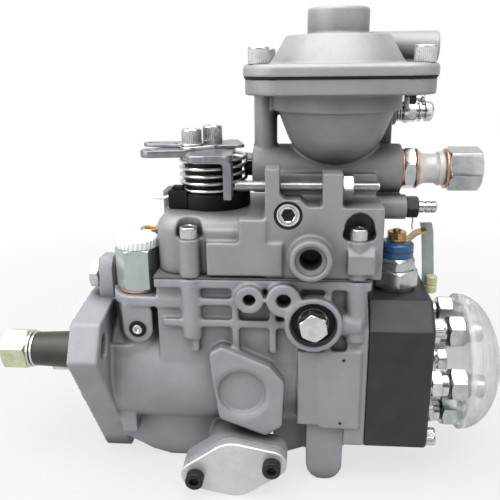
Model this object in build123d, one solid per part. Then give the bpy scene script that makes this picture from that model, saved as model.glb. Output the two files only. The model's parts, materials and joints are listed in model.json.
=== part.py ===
"""Rotary diesel injection pump with a boost-pressure compensator, as separate pieces.

All lengths are in millimetres. The drive shaft turns about the X axis: X = 0 is the
face of the mounting flange, +X runs towards the distributor head, +Z is up and the
side with the blank boss and the name-plate pad is -Y.
"""
from build123d import *
import math
import os

# ---------------------------------------------------------------- driving dimensions
# mounting flange and the nose of the housing
FLANGE_T = 17.0
EAR_REACH = 63.0
EAR_HALF = 11.0
FLANGE_TOP_Z = 46.0
FLANGE_TOP_HALF = 14.5
EAR_ANGLES = (30.0, 150.0, 270.0)
SLOT_RING_R = 52.5
SLOT_HALF_W = 4.5
SLOT_SWEEP = 3.2
PILOT_R = 34.0
PILOT_LENGTH = 6.0

# drive shaft
SHAFT_R = 12.5
TAPER_END_R = 10.8
TAPER_START_X = -10.0
TAPER_END_X = -44.0
STUD_R = 8.0
STUD_END_X = -64.5
NUT_AF = 24.0
NUT_LENGTH = 16.0
WASHER_T = 4.0
WASHER_R = 12.9
KEY_R = 8.0
KEY_WIDTH = 5.0
KEY_X = -27.0
KEY_STAND = 2.0
KEY_CENTRE_RISE = 2.5
RUN = 0.03
M6_R = 3.0
M6_CLEAR_R = 3.2
FLOAT = 0.1

# shaft seal and bearing bush
SEAL_R = 18.0
BUSH_R = 15.0
BUSH_START_X = 4.0
BUSH_LENGTH = 25.0

# vane feed pump
FEED_R = 33.0
FEED_LENGTH = 16.0
FEED_BORE_R = 25.5
FEED_OFFSET = 2.5
ROTOR_GAP = 0.4
VANE_T = 3.0
VANE_DEPTH = 8.0
FEED_PLATE_T = 4.0

# gears that drive the governor
GEAR_MODULE = 1.5
DRIVE_TEETH = 38
GOVERNOR_TEETH = 26
GEAR_X = 52.0
GEAR_WIDTH = 7.5
GEAR_BACKLASH = 0.16

# yoke, roller ring and cam plate
YOKE_R = 17.0
YOKE_X = 61.0
YOKE_T = 7.0
CLAW_INNER = 7.0
CLAW_OUTER = 15.9
CLAW_HALF = 6.0
CLAW_END_X = 102.0
RING_X = 80.0
RING_LENGTH = 20.0
RING_R = 32.0
RING_BORE_R = 18.5
RING_PLAY = 0.05
ROLLER_R = 6.5
ROLLER_X = 97.0
ROLLER_INNER = 21.5
ROLLER_OUTER = 30.3
ROLLER_PIN_R = 2.5
ROLLER_ANGLES = (0.0, 60.0, 180.0, 240.0)
LOBES = 6
LOBE_R = 8.0
RIDGE_TURN = 45.0
CAM_LIFT = 2.2
CAM_T = 8.0
CAM_R = 33.0

# distributor
PLUNGER_R = 6.0
PLUNGER_END_X = 192.0
FOOT_R = 9.5
FOOT_T = 2.5
SEAT_T = 2.0
SEAT_HALF_Y = 29.0
SEAT_HALF_Z = 7.0
SPRING_Y = 22.0
PLUNGER_SPRING_R = 5.0
PLUNGER_WIRE_R = 0.9
SPOOL_R = 11.5
SPOOL_LENGTH = 12.0
SPOOL_X = 122.0
BARREL_R = 15.0
BARREL_START_X = 141.0
BARREL_END_X = 194.0
HEAD_X = 163.7
HEAD_END_X = 199.5
HEAD_HALF_Y = 40.0
HEAD_HALF_Z = 50.0
HEAD_BEVEL_Y = 13.0
HEAD_BEVEL_Z = 14.0
HEAD_LOW_BEVEL_Y = 22.0
SPIGOT_R = 34.0
SPIGOT_LENGTH = 5.7
HEAD_SCREW_Y = 30.0
HEAD_SCREW_Z = 35.0
HEAD_SCREW_DEPTH = 11.0

# delivery outlets
OUTLETS = 6
OUTLET_RING_R = 30.0
HOLDER_R = 7.0
HOLDER_DEPTH = 13.0
HOLDER_HEX_AF = 14.0
HOLDER_HEX_X = 200.3
HOLDER_HEX_T = 6.0
HOLDER_NECK_R = 5.0
HOLDER_END_X = 230.0
UNION_AF = 17.0
UNION_X = 211.0
UNION_LENGTH = 9.0
VALVE_CHAMBER_R = 3.6
VALVE_CHAMBER_END_X = 210.0
VALVE_R = 3.54

# timing device
TIMING_X = 89.0
TIMING_Z = -45.5
TIMING_R = 12.0
TIMING_PLAY = 0.03
TIMING_WALL = 5.4
TIMING_END_Y = 50.0
TIMING_COVER_T = 5.0
TIMING_COVER_R = 17.5
TIMING_EAR_R = 8.5
TIMING_EAR_OFFSET = 22.5
TIMING_TILT = 12.0
ORING_R = 14.0
ORING_T = 1.2
PISTON_START_Y = -49.0
PISTON_LENGTH = 77.0
SPRING_POCKET_Y = 10.5
PIN_BALL_R = 4.5
PIN_STEM_R = 2.1

# governor
GOVERNOR_Z = GEAR_MODULE * (DRIVE_TEETH + GOVERNOR_TEETH) / 2
GOVERNOR_SHAFT_R = 4.0
GOVERNOR_SHAFT_X = 36.0
GOVERNOR_SHAFT_END_X = 108.0
CAGE_R = 19.0
CAGE_X = 60.0
CAGE_BASE_T = 3.0
CAGE_LENGTH = 18.0
WEIGHT_HALF = 4.5
WEIGHT_INNER_R = 10.0
WEIGHT_OUTER_R = 18.5
WEIGHT_X = 65.0
WEIGHT_LENGTH = 13.0
WEIGHT_PIVOT_X = 66.0
WEIGHT_PIVOT_R = 12.5
FINGER_INNER_R = 6.9
FINGER_END_X = 67.5
SLEEVE_R = 6.2
SLEEVE_FLANGE_R = 9.0
SLEEVE_END_X = 114.2
LEVER_PLATE_X = 114.5
LEVER_PLATE_T = 3.0
LEVER_HALF_Y = 9.0
LEVER_TOP_Z = 80.0
LEVER_PIVOT_X = 128.0
LEVER_PIVOT_Z = 30.0
LEVER_PIVOT_R = 3.0
BALL_R = 3.5
BALL_Z = 11.9
GOVERNOR_SPRING_Z = 75.5

# housing
BARREL_OUTER_R = 39.0
WALL_HALF_Y = 37.0
CHAMBER_HALF_Y = 32.5
CHAMBER_X = 50.0
CHAMBER_END_X = 152.0
UPPER_X = 46.0
FLOOR_Z = 36.5
PARTING_Z = 65.5
RAIL_T = 5.5
RAIL_HALF_Y = 41.0
INLET_PAD_Z = 53.0
INLET_PAD_Y = (-20.0, 30.0)
INLET_SEAT_R = 15.0
INLET_COLUMN_R = 13.0
SHELF_T = 6.0
SHELF_END_X = 58.0
SHELF_END_Y = -33.5
SHELF_END_R = 5.0
INLET_PAD_LOW_Z = 15.0
NEAR_PAD_Y = -42.0
NEAR_PAD_X = (138.0, 160.0)
NEAR_PAD_HALF_Z = 24.5
STRIP_X = (124.8, 136.4)
STRIP_Y = -41.0
LUG_X = 141.0
LUG_Y = (-37.0, -16.0)
LUG_Z = (-52.4, -20.0)
LUG_R = 10.6
TUBE_STUB_R = 6.5
TUBE_STUB_X = (143.0, 159.0)
TUBE_STUB_Y = -38.0
TUBE_STUB_Z = 40.0

# belly under the barrel, between the flange and the timing device
BELLY_HALF_Y = 20.0
BELLY_X = (34.0, 46.0)
BELLY_Z = (-49.0, -58.5, -62.0)
WEB_HALF_Y = 18.5
WEB_X = (110.0, 119.0, 130.0, 140.0)
WEB_Z = (-58.0, -54.0, -50.0)

# ribs and bosses of the near wall, whose pockets lie at RIB_ROOT_Y
RIB_ROOT_Y = -34.0
RIB_BAND_X = (50.0, 160.0)
RIB_BAND_Z = (37.0, 41.5)
SHORT_RIB_X = (71.0, 89.0)
SHORT_RIB_Z = (50.0, 54.0)
RIB_XS = (68.0, 90.5, 111.0, 141.0)
RIB_HALF_W = 2.0
RIB_LOW_Z = 22.0
SIDE_PLUG_X = 133.0
SIDE_PLUG_Z = 42.0
SIDE_BOSS_R = 15.5
SIDE_BOSS_Y = -47.0
FRONT_BOSS_X = 98.6
FRONT_BOSS_R = 7.7
FRONT_BOSS_Y = -46.0
FRONT_BOSS_HOLE_R = 3.3
REAR_BOSS_X = 117.0
REAR_BOSS_R = 9.3
REAR_BOSS_Y = -46.5
REAR_BOSS_HOLE_R = 3.9
SMALL_BOSS_Z = 55.5
BOSS_HOLE_END_Y = -36.0
BLANK_BOSS_Y = -46.5
BLANK_RING_X = 93.6
BLANK_RING_Z = -1.0
BLANK_RING_R = 13.4
BLANK_RING_DEPTH = 3.6
BLANK_RIM_R = 16.0
BLANK_RIM_DEPTH = 0.9
SOCKET_PLUG_X = 34.0
SOCKET_PLUG_Y = -36.2
SOCKET_PLUG_DEPTH = 5.0
SOCKET_BOSS_R = 8.7
SOCKET_BOSS_TOP_Z = 43.0
SOCKET_PLUG_Z = 33.0

# governor cover
GASKET_T = 0.8
COVER_X = 46.0
COVER_END_X = 168.5
COVER_STEP_X = 107.0
COVER_LOW_Z = 98.0
COVER_HIGH_Z = 105.0
COVER_HALF_Y = 38.0
COVER_LOW_HALF_Y = 36.5
COVER_FACE_Y = -40.0
COVER_WALL = 4.0
COLUMN_R = 6.0
COVER_SCREW_XS = (66.0, 156.0)
COVER_SCREW_Y = 37.0
COVER_SCREW_SEAT_Z = 87.5
POCKET_R = 7.0
POCKET_WALL = 3.0
ARM_TOP_Z = 125.0
FRONT_ARM_X = 114.5
REAR_ARM_X = (136.5, 147.0)
REAR_ARM_TOP_Z = 122.5
NOTCH_STEP_Z = 109.0
NOTCH_FLOOR_Z = 105.5
SMALL_STEP_X = (75.0, 92.0)
SMALL_STEP_Y = -37.4
SMALL_STEP_Z = (79.0, 92.0)
STEP_Y = -41.5
BAND_STEP_X = (75.5, 116.3)
BAND_STEP_Z = (67.5, 86.0)
HIGH_STEP_X = (93.0, 107.6)
HIGH_STEP_TOP_Z = 98.8
LEDGE_X = (150.0, 164.5)
LEDGE_Y = (-44.0, -36.0)
LEDGE_Z = 70.0
LEDGE_SLOPE = 7.0
BOWL_COLLAR_R = 35.3
BOWL_COLLAR_Z = 151.5
COLUMN_PIPE_R = 6.5
NECK_R = 14.0
NECK_Y = 4.0
NECK_Z = 118.0
NECK_X = 98.0
NECK_END_X = 181.0

# boost-pressure compensator
BOOST_X = 144.0
BOWL_OUTSIDE = ((0.0, 121.0), (14.0, 124.5), (24.0, 133.0), (29.0, 144.0), (32.5, 154.0), (33.5, 163.0))
BOWL_INSIDE = ((0.0, 134.0), (15.0, 134.3), (21.0, 139.0), (25.0, 147.0), (28.0, 158.0), (29.0, 169.0))
BOWL_FLANGE_Z = 161.0
BOWL_FLANGE_T = 8.0
BOOST_FLANGE_X = 97.0
BOOST_FLANGE_Y = 90.0
BOOST_CORNER_R = 18.0
BOOST_SCREW_DX = 40.0
BOOST_SCREW_DY = 34.0
DIAPHRAGM_T = 1.0
LID_FLANGE_T = 6.0
LID_CONE_R = 36.0
LID_CONE_TOP_R = 27.5
LID_CONE_H = 14.0
LID_TOWER_R = 16.3
LID_TOWER_H = 13.5
AIR_PIPE_R = 8.5
AIR_BORE_R = 5.5
AIR_Y = 14.0
AIR_END_X = 199.0
BOOST_PIN_R = 4.0
BOOST_PLATE_R = 22.0

# control lever on top of the cover
CONTROL_X = 75.0
CONTROL_R = 5.0
CRANK_ARM = 9.0
CUP_R = 21.0
CUP_T = 9.0
SLEEVE_CORE_R = 16.5
LEVER_Z = 127.0
LEVER_T = 4.0
TAB_X = 84.0
TAB_T = 6.3
TAB_Y = -36.0
TAB_WIDTH = 11.0
TAB_DROP = 19.0
SPEED_SCREW_Y = -30.0
SPEED_SCREW_Z = 114.5
SPEED_SCREW_R = 3.0

# fuel inlet
INLET_X = 33.5
INLET_Y = -22.0
INLET_AF = 23.0
INLET_HEX_H = 24.0
INLET_THREAD_R = 8.0
SEAL_RING_T = 1.5
INLET_CAP_R = 12.2
INLET_CAP_H = 5.5

# shut-off solenoid on the head
SOLENOID_X = 180.5
SOLENOID_Y = -5.0
SOLENOID_AF = 24.0
SOLENOID_HEX_H = 10.5
SOLENOID_BODY_R = 11.3
SOLENOID_BODY_H = 7.0
SOLENOID_FLOOR_Z = 38.0

# ports, plugs and screws on the cover
PORT_X = 131.0
PORT_Z = 79.0
PORT_Y = -50.0
PORT_R = 11.0
PORT_DEPTH = 19.0
PORT_BORE_R = 5.8
FACE_PLUG_X = 119.0
FACE_PLUG_Z = 101.0
FACE_PLUG_R = 6.3
FULL_LOAD_X = 184.5
FULL_LOAD_Y = -5.0
FULL_LOAD_Z = 97.8
FULL_LOAD_R = 7.0
STOP_BOSS_END_X = 182.0
STOP_PLATE_X = 186.0
CAP_X = 221.0
CAP_R = 41.0
CAP_DEPTH = 24.0
ARM_TIP_X = 42.0
ARM_TIP_Y = -12.0
ARM_HOLE_R = 3.0
CLAMP_X = 64.5
CLAMP_Y = -8.5

# clamping pieces of the control lever
LEVER_HUB_R = 13.0
LEVER_REACH_R = 12.0
LEVER_TAB_HALF = 5.2
ARM_TIP_R = 6.0
CRANK_HUB_R = 6.5
CRANK_PIN_R = 2.0
CRANK_T = 4.0
CLAMP_T = 2.0
CLAMP_HUB_R = 8.5
CLAMP_END_R = 7.0
CLAMP_HEAD_R = 5.6
CUP_BORE_R = 9.2
LOCK_NUT_T = 5.5
LOCK_NUT_AF = 12.0
LOAD_NUT_T = 6.5
LOAD_NUT_AF = 11.0

# stop lever
STOP_START_X = 161.0
STOP_PLATE_T = 3.0
STOP_KNOB_L = 7.0
STOP_KNOB_RISE = 8.5
STOP_SLEEVE_R = 6.2
STOP_SHAFT_L = 18.0

# fittings in the housing
INLET_BORE_FLOOR_Z = 36.0
INLET_PASSAGE_R = 4.0
INLET_PASSAGE_END_Z = 24.0
UNION_FOOT_Z = 38.0
UNION_BORE_R = 6.0
VALVE_FOOT_Z = 37.0
VALVE_COLLAR_R = 7.5
VALVE_COLLAR_END_Z = 56.0
VALVE_HEX_END_Z = 66.0
VALVE_HEX_AF = 17.0
VALVE_END_Z = 78.0
VALVE_END_R = 6.4
VALVE_BORE_R = 4.0
VALVE_BORE_FLOOR_Z = 60.0
VALVE_SEAT_R = 6.0
VALVE_SEAT_X = 31.0
VALVE_SEAT_Y = 17.0
SIDE_RECESS = 5.0
SIDE_PLUG_R = 8.0
SIDE_PLUG_AF = 14.0
SIDE_WASHER_R = 9.8

# return union behind the cover
RETURN_AF = 21.0
RETURN_HEX_T = 6.5
RETURN_SLEEVE_R = 9.2
RETURN_SLEEVE_L = 15.0
RETURN_CAP_AF = 22.0
RETURN_CAP_L = 18.0
RETURN_STEM_R = 6.0

# stop lever at the back
STOP_Y = 37.0
STOP_Z = 147.0
STOP_R = 4.0

# derived places
GASKET_Z = PARTING_Z + GASKET_T
FEED_X = BUSH_START_X + BUSH_LENGTH
FEED_END_X = FEED_X + FEED_LENGTH
FEED_PLATE_END_X = FEED_END_X + FEED_PLATE_T
ROLLER_CREST_X = ROLLER_X + ROLLER_R
CAM_CREST_X = ROLLER_CREST_X + 0.05
CAM_FACE_X = CAM_CREST_X + CAM_LIFT
CAM_BACK_X = CAM_FACE_X + CAM_T
SEAT_X = CAM_BACK_X + FOOT_T + 0.05
SPIGOT_X = HEAD_X - SPIGOT_LENGTH
BOWL_TOP_Z = BOWL_FLANGE_Z + BOWL_FLANGE_T
LID_Z = BOWL_TOP_Z + DIAPHRAGM_T
LID_CONE_Z = LID_Z + LID_FLANGE_T
LID_TOWER_Z = LID_CONE_Z + LID_CONE_H
NUT_X = TAPER_END_X - WASHER_T - NUT_LENGTH
TAB_FACE_X = TAB_X + TAB_T

PLANES = {"x": Plane.YZ, "y": Plane.XZ, "z": Plane.XY}
SORT_AXES = {"x": Axis.X, "y": Axis.Y, "z": Axis.Z}


# ---------------------------------------------------------------- shape helpers
def solid(axis, start, end, sketch):
    """Extrude a sketch, drawn in the other two coordinates, from start to end along an axis."""
    sign = -1 if axis == "y" else 1
    return extrude(PLANES[axis].offset(sign * start) * sketch, sign * (end - start))


def disc(radius, a=0.0, b=0.0):
    return Pos(a, b) * Circle(radius)


def rod(axis, start, end, radius, a=0.0, b=0.0):
    """Round bar along an axis, centred on (a, b) in the other two coordinates."""
    return solid(axis, start, end, disc(radius, a, b))


def tube(axis, start, end, outer, inner, a=0.0, b=0.0):
    return solid(axis, start, end, disc(outer, a, b) - disc(inner, a, b))


def hexagon(across_flats, a=0.0, b=0.0, turn=0.0):
    return Pos(a, b) * RegularPolygon(across_flats / 2, 6, major_radius=False, rotation=turn)


def hex_bar(axis, start, end, across_flats, a=0.0, b=0.0, turn=0.0):
    """Hexagonal bar with its two end edges broken by a cone."""
    bar = solid(axis, start, end, hexagon(across_flats, a, b, turn))
    corner = across_flats / math.sqrt(3)
    depth = min(0.12 * across_flats, abs(end - start) / 3)
    keep = taper(axis, start, start + depth, corner - depth, corner, a, b)
    keep += rod(axis, start + depth, end - depth, corner + 1, a, b)
    keep += taper(axis, end - depth, end, corner, corner - depth, a, b)
    return bar & keep


def taper(axis, start, end, start_r, end_r, a=0.0, b=0.0):
    """Round bar whose radius runs from start_r to end_r."""
    sign = -1 if axis == "y" else 1
    plane = PLANES[axis].offset(sign * start)
    cone = Cone(start_r, end_r, end - start, align=(Align.CENTER, Align.CENTER, Align.MIN))
    if axis == "y":
        cone = Rot(180, 0, 0) * cone
    return Part() + plane * Pos(a, b, 0) * cone


def block(x0, x1, y0, y1, z0, z1):
    box = Box(x1 - x0, y1 - y0, z1 - z0)
    return Pos((x0 + x1) / 2, (y0 + y1) / 2, (z0 + z1) / 2) * box


def bead(radius, x, y, z):
    return Pos(x, y, z) * Sphere(radius)


def hull(*circles):
    """Outline that a tight string draws round circles given as (a, b, radius)."""
    edges = []
    for a, b, radius in circles:
        edges += disc(radius, a, b).edges()
    return make_hull(edges)


def around_x(shape, angle):
    return Rot(angle, 0, 0) * shape


def cap_screw(axis, seat, direction, shank_r, length, a, b, head_r=None, head_h=None):
    """Socket-head screw whose head stands on seat, with its shank running the other way."""
    head_r = head_r or 1.55 * shank_r
    head_h = head_h or 2.0 * shank_r
    top = seat + direction * head_h
    screw = rod(axis, min(seat, top), max(seat, top), head_r, a, b)
    rim = screw.edges().filter_by(GeomType.CIRCLE).sort_by(SORT_AXES[axis])
    edge = rim[-1] if direction > 0 else rim[0]
    screw = chamfer(edge, 0.12 * head_r)
    foot = seat - direction * length
    screw += rod(axis, min(seat, foot), max(seat, foot), shank_r, a, b)
    socket = seat + direction * 0.35 * head_h
    return screw - solid(axis, min(socket, top), max(socket, top), hexagon(1.7 * shank_r, a, b))


def coil(axis, start, end, mean_r, wire_r, turns, a=0.0, b=0.0):
    """Helical spring with round wire between two planes."""
    length = end - start - 2 * wire_r
    helix = Helix(pitch=length / turns, height=length, radius=mean_r)
    section = Plane(origin=helix @ 0, z_dir=helix % 0) * Circle(wire_r)
    spring = sweep(section, path=helix, is_frenet=True)
    sign = -1 if axis == "y" else 1
    plane = PLANES[axis].offset(sign * (start + wire_r))
    if axis == "y":
        spring = Rot(180, 0, 0) * spring
    return plane * Pos(a, b, 0) * spring


def group(shapes):
    """Several separate solids that share one node."""
    solids = []
    for shape in shapes:
        solids += shape.solids()
    return Compound(children=solids)


def gear_outline(teeth, module, backlash, turn):
    """Involute spur-gear outline with one tooth centred on the angle turn, in degrees."""
    pitch_r = teeth * module / 2
    base_r = pitch_r * math.cos(math.radians(20))
    outer_r = pitch_r + module
    root_r = pitch_r - 1.25 * module
    pitch_half = math.pi / (2 * teeth) - backlash / (2 * pitch_r)

    def involute(radius):
        if radius <= base_r:
            return 0.0
        angle = math.acos(base_r / radius)
        return math.tan(angle) - angle

    points = []
    radii = [root_r] + [max(base_r, root_r) + (outer_r - max(base_r, root_r)) * k / 3 for k in range(4)]
    for tooth in range(teeth):
        centre = math.radians(turn) + 2 * math.pi * tooth / teeth
        halves = [pitch_half + involute(pitch_r) - involute(r) for r in radii]
        flank = [(r, centre - h) for r, h in zip(radii, halves)]
        flank += [(r, centre + h) for r, h in zip(reversed(radii), reversed(halves))]
        points += [(r * math.cos(t), r * math.sin(t)) for r, t in flank]
    return make_face(Polyline(*points, close=True))


# ---------------------------------------------------------------- drive shaft
def taper_radius(x):
    share = (TAPER_START_X - x) / (TAPER_START_X - TAPER_END_X)
    return SHAFT_R + (TAPER_END_R - SHAFT_R) * share


def key_disc():
    """Round cutter path of the half-moon key, centred just inside the taper's lower side."""
    centre_z = KEY_CENTRE_RISE - taper_radius(KEY_X) - KEY_STAND
    return rod("y", -KEY_WIDTH / 2, KEY_WIDTH / 2, KEY_R, KEY_X, centre_z)


def make_key():
    """Half-moon key below the taper, its flat side standing proud of the shaft."""
    flat_z = -taper_radius(KEY_X) - KEY_STAND
    reach = KEY_R + 1
    return key_disc() & block(KEY_X - reach, KEY_X + reach, -KEY_WIDTH, KEY_WIDTH, flat_z, 0)


def make_drive_shaft():
    shaft = rod("x", TAPER_START_X, YOKE_X, SHAFT_R)
    shaft += taper("x", TAPER_END_X, TAPER_START_X, TAPER_END_R, SHAFT_R)
    shaft += rod("x", STUD_END_X, TAPER_END_X, STUD_R)
    shaft += rod("x", YOKE_X, YOKE_X + YOKE_T, YOKE_R)
    for side in (-1, 1):
        low, high = sorted((side * CLAW_INNER, side * CLAW_OUTER))
        shaft += block(YOKE_X, CLAW_END_X, low, high, -CLAW_HALF, CLAW_HALF)
    return shaft - key_disc()


def make_drive_nut():
    nut = hex_bar("x", NUT_X, NUT_X + NUT_LENGTH, NUT_AF, turn=15)
    return nut - rod("x", NUT_X, NUT_X + NUT_LENGTH, STUD_R)


def make_spring_washer():
    """Lock washer, split across its rim."""
    start = NUT_X + NUT_LENGTH
    ring = tube("x", start, TAPER_END_X, WASHER_R, STUD_R + 0.2)
    slit = block(start, TAPER_END_X, -0.6, 0.6, STUD_R, WASHER_R + 1)
    return ring - Pos((start + TAPER_END_X) / 2, 0, 0) * Rot(0, 0, 20) * Pos(
        -(start + TAPER_END_X) / 2, 0, 0) * slit


def make_bush():
    return tube("x", BUSH_START_X, BUSH_START_X + BUSH_LENGTH, BUSH_R, SHAFT_R + RUN)


# ---------------------------------------------------------------- feed pump
def make_feed_ring():
    ring = rod("x", FEED_X, FEED_END_X, FEED_R)
    return ring - rod("x", FEED_X, FEED_END_X, FEED_BORE_R, 0, FEED_OFFSET)


def rotor_radius():
    return FEED_BORE_R - FEED_OFFSET - ROTOR_GAP


def vane_box(inner, outer):
    start = FEED_X + FLOAT
    end = FEED_END_X - FLOAT
    return block(start, end, -VANE_T / 2, VANE_T / 2, inner, outer)


def make_feed_rotor():
    rotor = tube("x", FEED_X + FLOAT, FEED_END_X - FLOAT, rotor_radius(), SHAFT_R)
    for k in range(4):
        rotor -= around_x(vane_box(rotor_radius() - VANE_DEPTH, rotor_radius() + 5), 45 + 90 * k)
    return rotor


def make_feed_vanes():
    """Four vanes, drawn in so that their tips clear the ring at its narrowest side."""
    tip = rotor_radius() + ROTOR_GAP - 0.1
    vane = vane_box(rotor_radius() - VANE_DEPTH, tip) & rod("x", FEED_X, FEED_END_X, tip)
    return group([around_x(vane, 45 + 90 * k) for k in range(4)])


def make_feed_plate():
    plate = tube("x", FEED_END_X, FEED_PLATE_END_X, FEED_R, SHAFT_R + 0.5)
    for side in (-1, 1):
        plate -= rod("x", FEED_END_X, FEED_PLATE_END_X, 2.5, side * 18, 12)
    return plate


# ---------------------------------------------------------------- governor drive
def make_drive_gear():
    outline = gear_outline(DRIVE_TEETH, GEAR_MODULE, GEAR_BACKLASH, 90)
    gear = solid("x", GEAR_X, GEAR_X + GEAR_WIDTH, outline - disc(SHAFT_R))
    for k in range(4):
        gear -= around_x(rod("x", GEAR_X, GEAR_X + GEAR_WIDTH, 3.5, 0, 19), 45 + 90 * k)
    return gear


def make_carrier():
    """Driven gear with the cage that holds the four flyweights."""
    outline = gear_outline(GOVERNOR_TEETH, GEAR_MODULE, GEAR_BACKLASH, 90 + 180 / GOVERNOR_TEETH)
    carrier = solid("x", GEAR_X, GEAR_X + GEAR_WIDTH, outline)
    carrier += rod("x", GEAR_X + GEAR_WIDTH, CAGE_X, 12)
    carrier += rod("x", CAGE_X, CAGE_X + CAGE_BASE_T, CAGE_R)
    carrier += tube("x", CAGE_X, CAGE_X + CAGE_LENGTH, CAGE_R, WEIGHT_INNER_R - 0.5)
    room = WEIGHT_HALF + 0.3
    for k in range(2):
        slot = block(CAGE_X + CAGE_BASE_T, CAGE_X + CAGE_LENGTH, -room, room, -CAGE_R, CAGE_R)
        carrier -= around_x(slot, 90 * k)
    for k in range(4):
        hole = rod("y", -8.0, 8.0, 1.55, WEIGHT_PIVOT_X, WEIGHT_PIVOT_R)
        carrier -= around_x(hole, 90 * k)
    carrier -= rod("x", GEAR_X, CAGE_X + CAGE_LENGTH, GOVERNOR_SHAFT_R + RUN)
    return Pos(0, 0, GOVERNOR_Z) * carrier


def make_flyweight(number):
    """Weight on a cross pin, with an inner finger that pushes the sleeve."""
    end_x = WEIGHT_X + WEIGHT_LENGTH
    weight = block(WEIGHT_X, end_x, -WEIGHT_HALF, WEIGHT_HALF, WEIGHT_INNER_R, WEIGHT_OUTER_R)
    weight = fillet(weight.edges().filter_by(Axis.Y).sort_by(Axis.Z)[-2:], 2)
    weight += block(WEIGHT_X, FINGER_END_X, -2.5, 2.5, FINGER_INNER_R, WEIGHT_INNER_R)
    weight += rod("y", -7.6, 7.6, 1.5, WEIGHT_PIVOT_X, WEIGHT_PIVOT_R)
    weight = around_x(weight, 90 * number)
    return Pos(0, 0, GOVERNOR_Z) * weight


def make_governor_shaft():
    shaft = rod("x", GOVERNOR_SHAFT_X, GOVERNOR_SHAFT_END_X, GOVERNOR_SHAFT_R)
    return Pos(0, 0, GOVERNOR_Z) * shaft


def make_governor_sleeve():
    """Cap that slides on the governor shaft, with a flange at its front and a domed end."""
    start = FINGER_END_X + 0.1
    dome = SLEEVE_END_X - 3.0
    sleeve = rod("x", start, start + 2, SLEEVE_FLANGE_R)
    sleeve += rod("x", start, dome, SLEEVE_R)
    sleeve += taper("x", dome, SLEEVE_END_X, SLEEVE_R, 1.5)
    sleeve -= rod("x", start, dome - 1, GOVERNOR_SHAFT_R + RUN)
    return Pos(0, 0, GOVERNOR_Z) * sleeve


def make_governor_lever():
    """Lever that hangs on cross pins and moves the spool with a ball below them."""
    plate_end = LEVER_PLATE_X + LEVER_PLATE_T
    lever = block(LEVER_PLATE_X, plate_end, -LEVER_HALF_Y, LEVER_HALF_Y, 26, LEVER_TOP_Z)
    lever = fillet(lever.edges().filter_by(Axis.X).sort_by(Axis.Z)[-2:], 5)
    lever -= rod("x", LEVER_PLATE_X, plate_end, 2.2, 0, GOVERNOR_SPRING_Z)
    lever += block(LEVER_PLATE_X, LEVER_PIVOT_X + 4, -LEVER_HALF_Y, LEVER_HALF_Y, 26, 34)
    lever += rod("y", -CHAMBER_HALF_Y - 3.5, CHAMBER_HALF_Y + 3.5, LEVER_PIVOT_R,
                 LEVER_PIVOT_X, LEVER_PIVOT_Z)
    lever += rod("z", BALL_Z, 27, 2.2, LEVER_PIVOT_X, 0)
    lever += bead(BALL_R, LEVER_PIVOT_X, 0, BALL_Z)
    return lever


def make_governor_spring():
    end = LEVER_PLATE_X - 0.1
    start = CONTROL_X + CRANK_ARM + 2.2
    return coil("x", start, end, 3.8, 0.7, 8, 0, GOVERNOR_SPRING_Z)


# ---------------------------------------------------------------- roller ring, cam plate and plunger
def make_roller_ring():
    ring = tube("x", RING_X, RING_X + RING_LENGTH, RING_R, RING_BORE_R)
    for angle in ROLLER_ANGLES:
        pocket = rod("z", ROLLER_INNER - 0.2, ROLLER_OUTER + 0.2, ROLLER_R + 0.1, ROLLER_X, 0)
        mouth = block(ROLLER_X, RING_X + RING_LENGTH, -ROLLER_R - 0.1, ROLLER_R + 0.1,
                      ROLLER_INNER - 0.2, ROLLER_OUTER + 0.2)
        pin_hole = rod("z", RING_BORE_R - 1, RING_R + 1, ROLLER_PIN_R, ROLLER_X, 0)
        ring -= around_x(pocket + mouth + pin_hole, angle - 90)
    return ring - timing_pin_bore()


def timing_pin_bore():
    return rod("z", -RING_R - 1, -RING_BORE_R, PIN_STEM_R, TIMING_X, 0)


def make_rollers():
    """Four rollers on radial pins."""
    pieces = []
    for angle in ROLLER_ANGLES:
        roller = tube("z", ROLLER_INNER, ROLLER_OUTER, ROLLER_R, ROLLER_PIN_R + RUN, ROLLER_X, 0)
        pin = rod("z", RING_BORE_R + 0.3, RING_R - 0.4, ROLLER_PIN_R, ROLLER_X, 0)
        pieces += [around_x(roller, angle - 90), around_x(pin, angle - 90)]
    return group(pieces)


def make_timing_pin():
    pin = rod("z", TIMING_Z, -RING_BORE_R - 0.5, PIN_STEM_R, TIMING_X, 0)
    return pin + bead(PIN_BALL_R, TIMING_X, 0, TIMING_Z)


def make_cam_plate():
    """Disc with six ridges that climb the rollers, and two claws for the yoke."""
    cam = rod("x", CAM_FACE_X, CAM_BACK_X, CAM_R)
    for k in range(LOBES):
        ridge = rod("z", ROLLER_INNER - 0.5, CAM_R - 0.5, LOBE_R, CAM_CREST_X + LOBE_R, 0)
        ridge &= block(CAM_CREST_X - 1, CAM_FACE_X + 1, -LOBE_R, LOBE_R, 0, CAM_R)
        cam += around_x(ridge, RIDGE_TURN + 360 / LOBES * k - 90)
    for side in (-1, 1):
        low, high = sorted((side * CLAW_INNER, side * CLAW_OUTER))
        cam += block(YOKE_X + YOKE_T + 10, CAM_FACE_X + 1, -CLAW_HALF, CLAW_HALF, low, high)
    return cam


def make_plunger():
    plunger = rod("x", CAM_BACK_X, CAM_BACK_X + FOOT_T, FOOT_R)
    plunger += rod("x", CAM_BACK_X, PLUNGER_END_X, PLUNGER_R)
    plunger -= rod("x", PLUNGER_END_X - 55, PLUNGER_END_X, 1.5)
    plunger -= rod("y", -PLUNGER_R, PLUNGER_R, 1.5, SPOOL_X + SPOOL_LENGTH + 4, 0)
    plunger -= rod("z", 0, PLUNGER_R, 1.5, PLUNGER_END_X - 22, 0)
    return plunger


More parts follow.
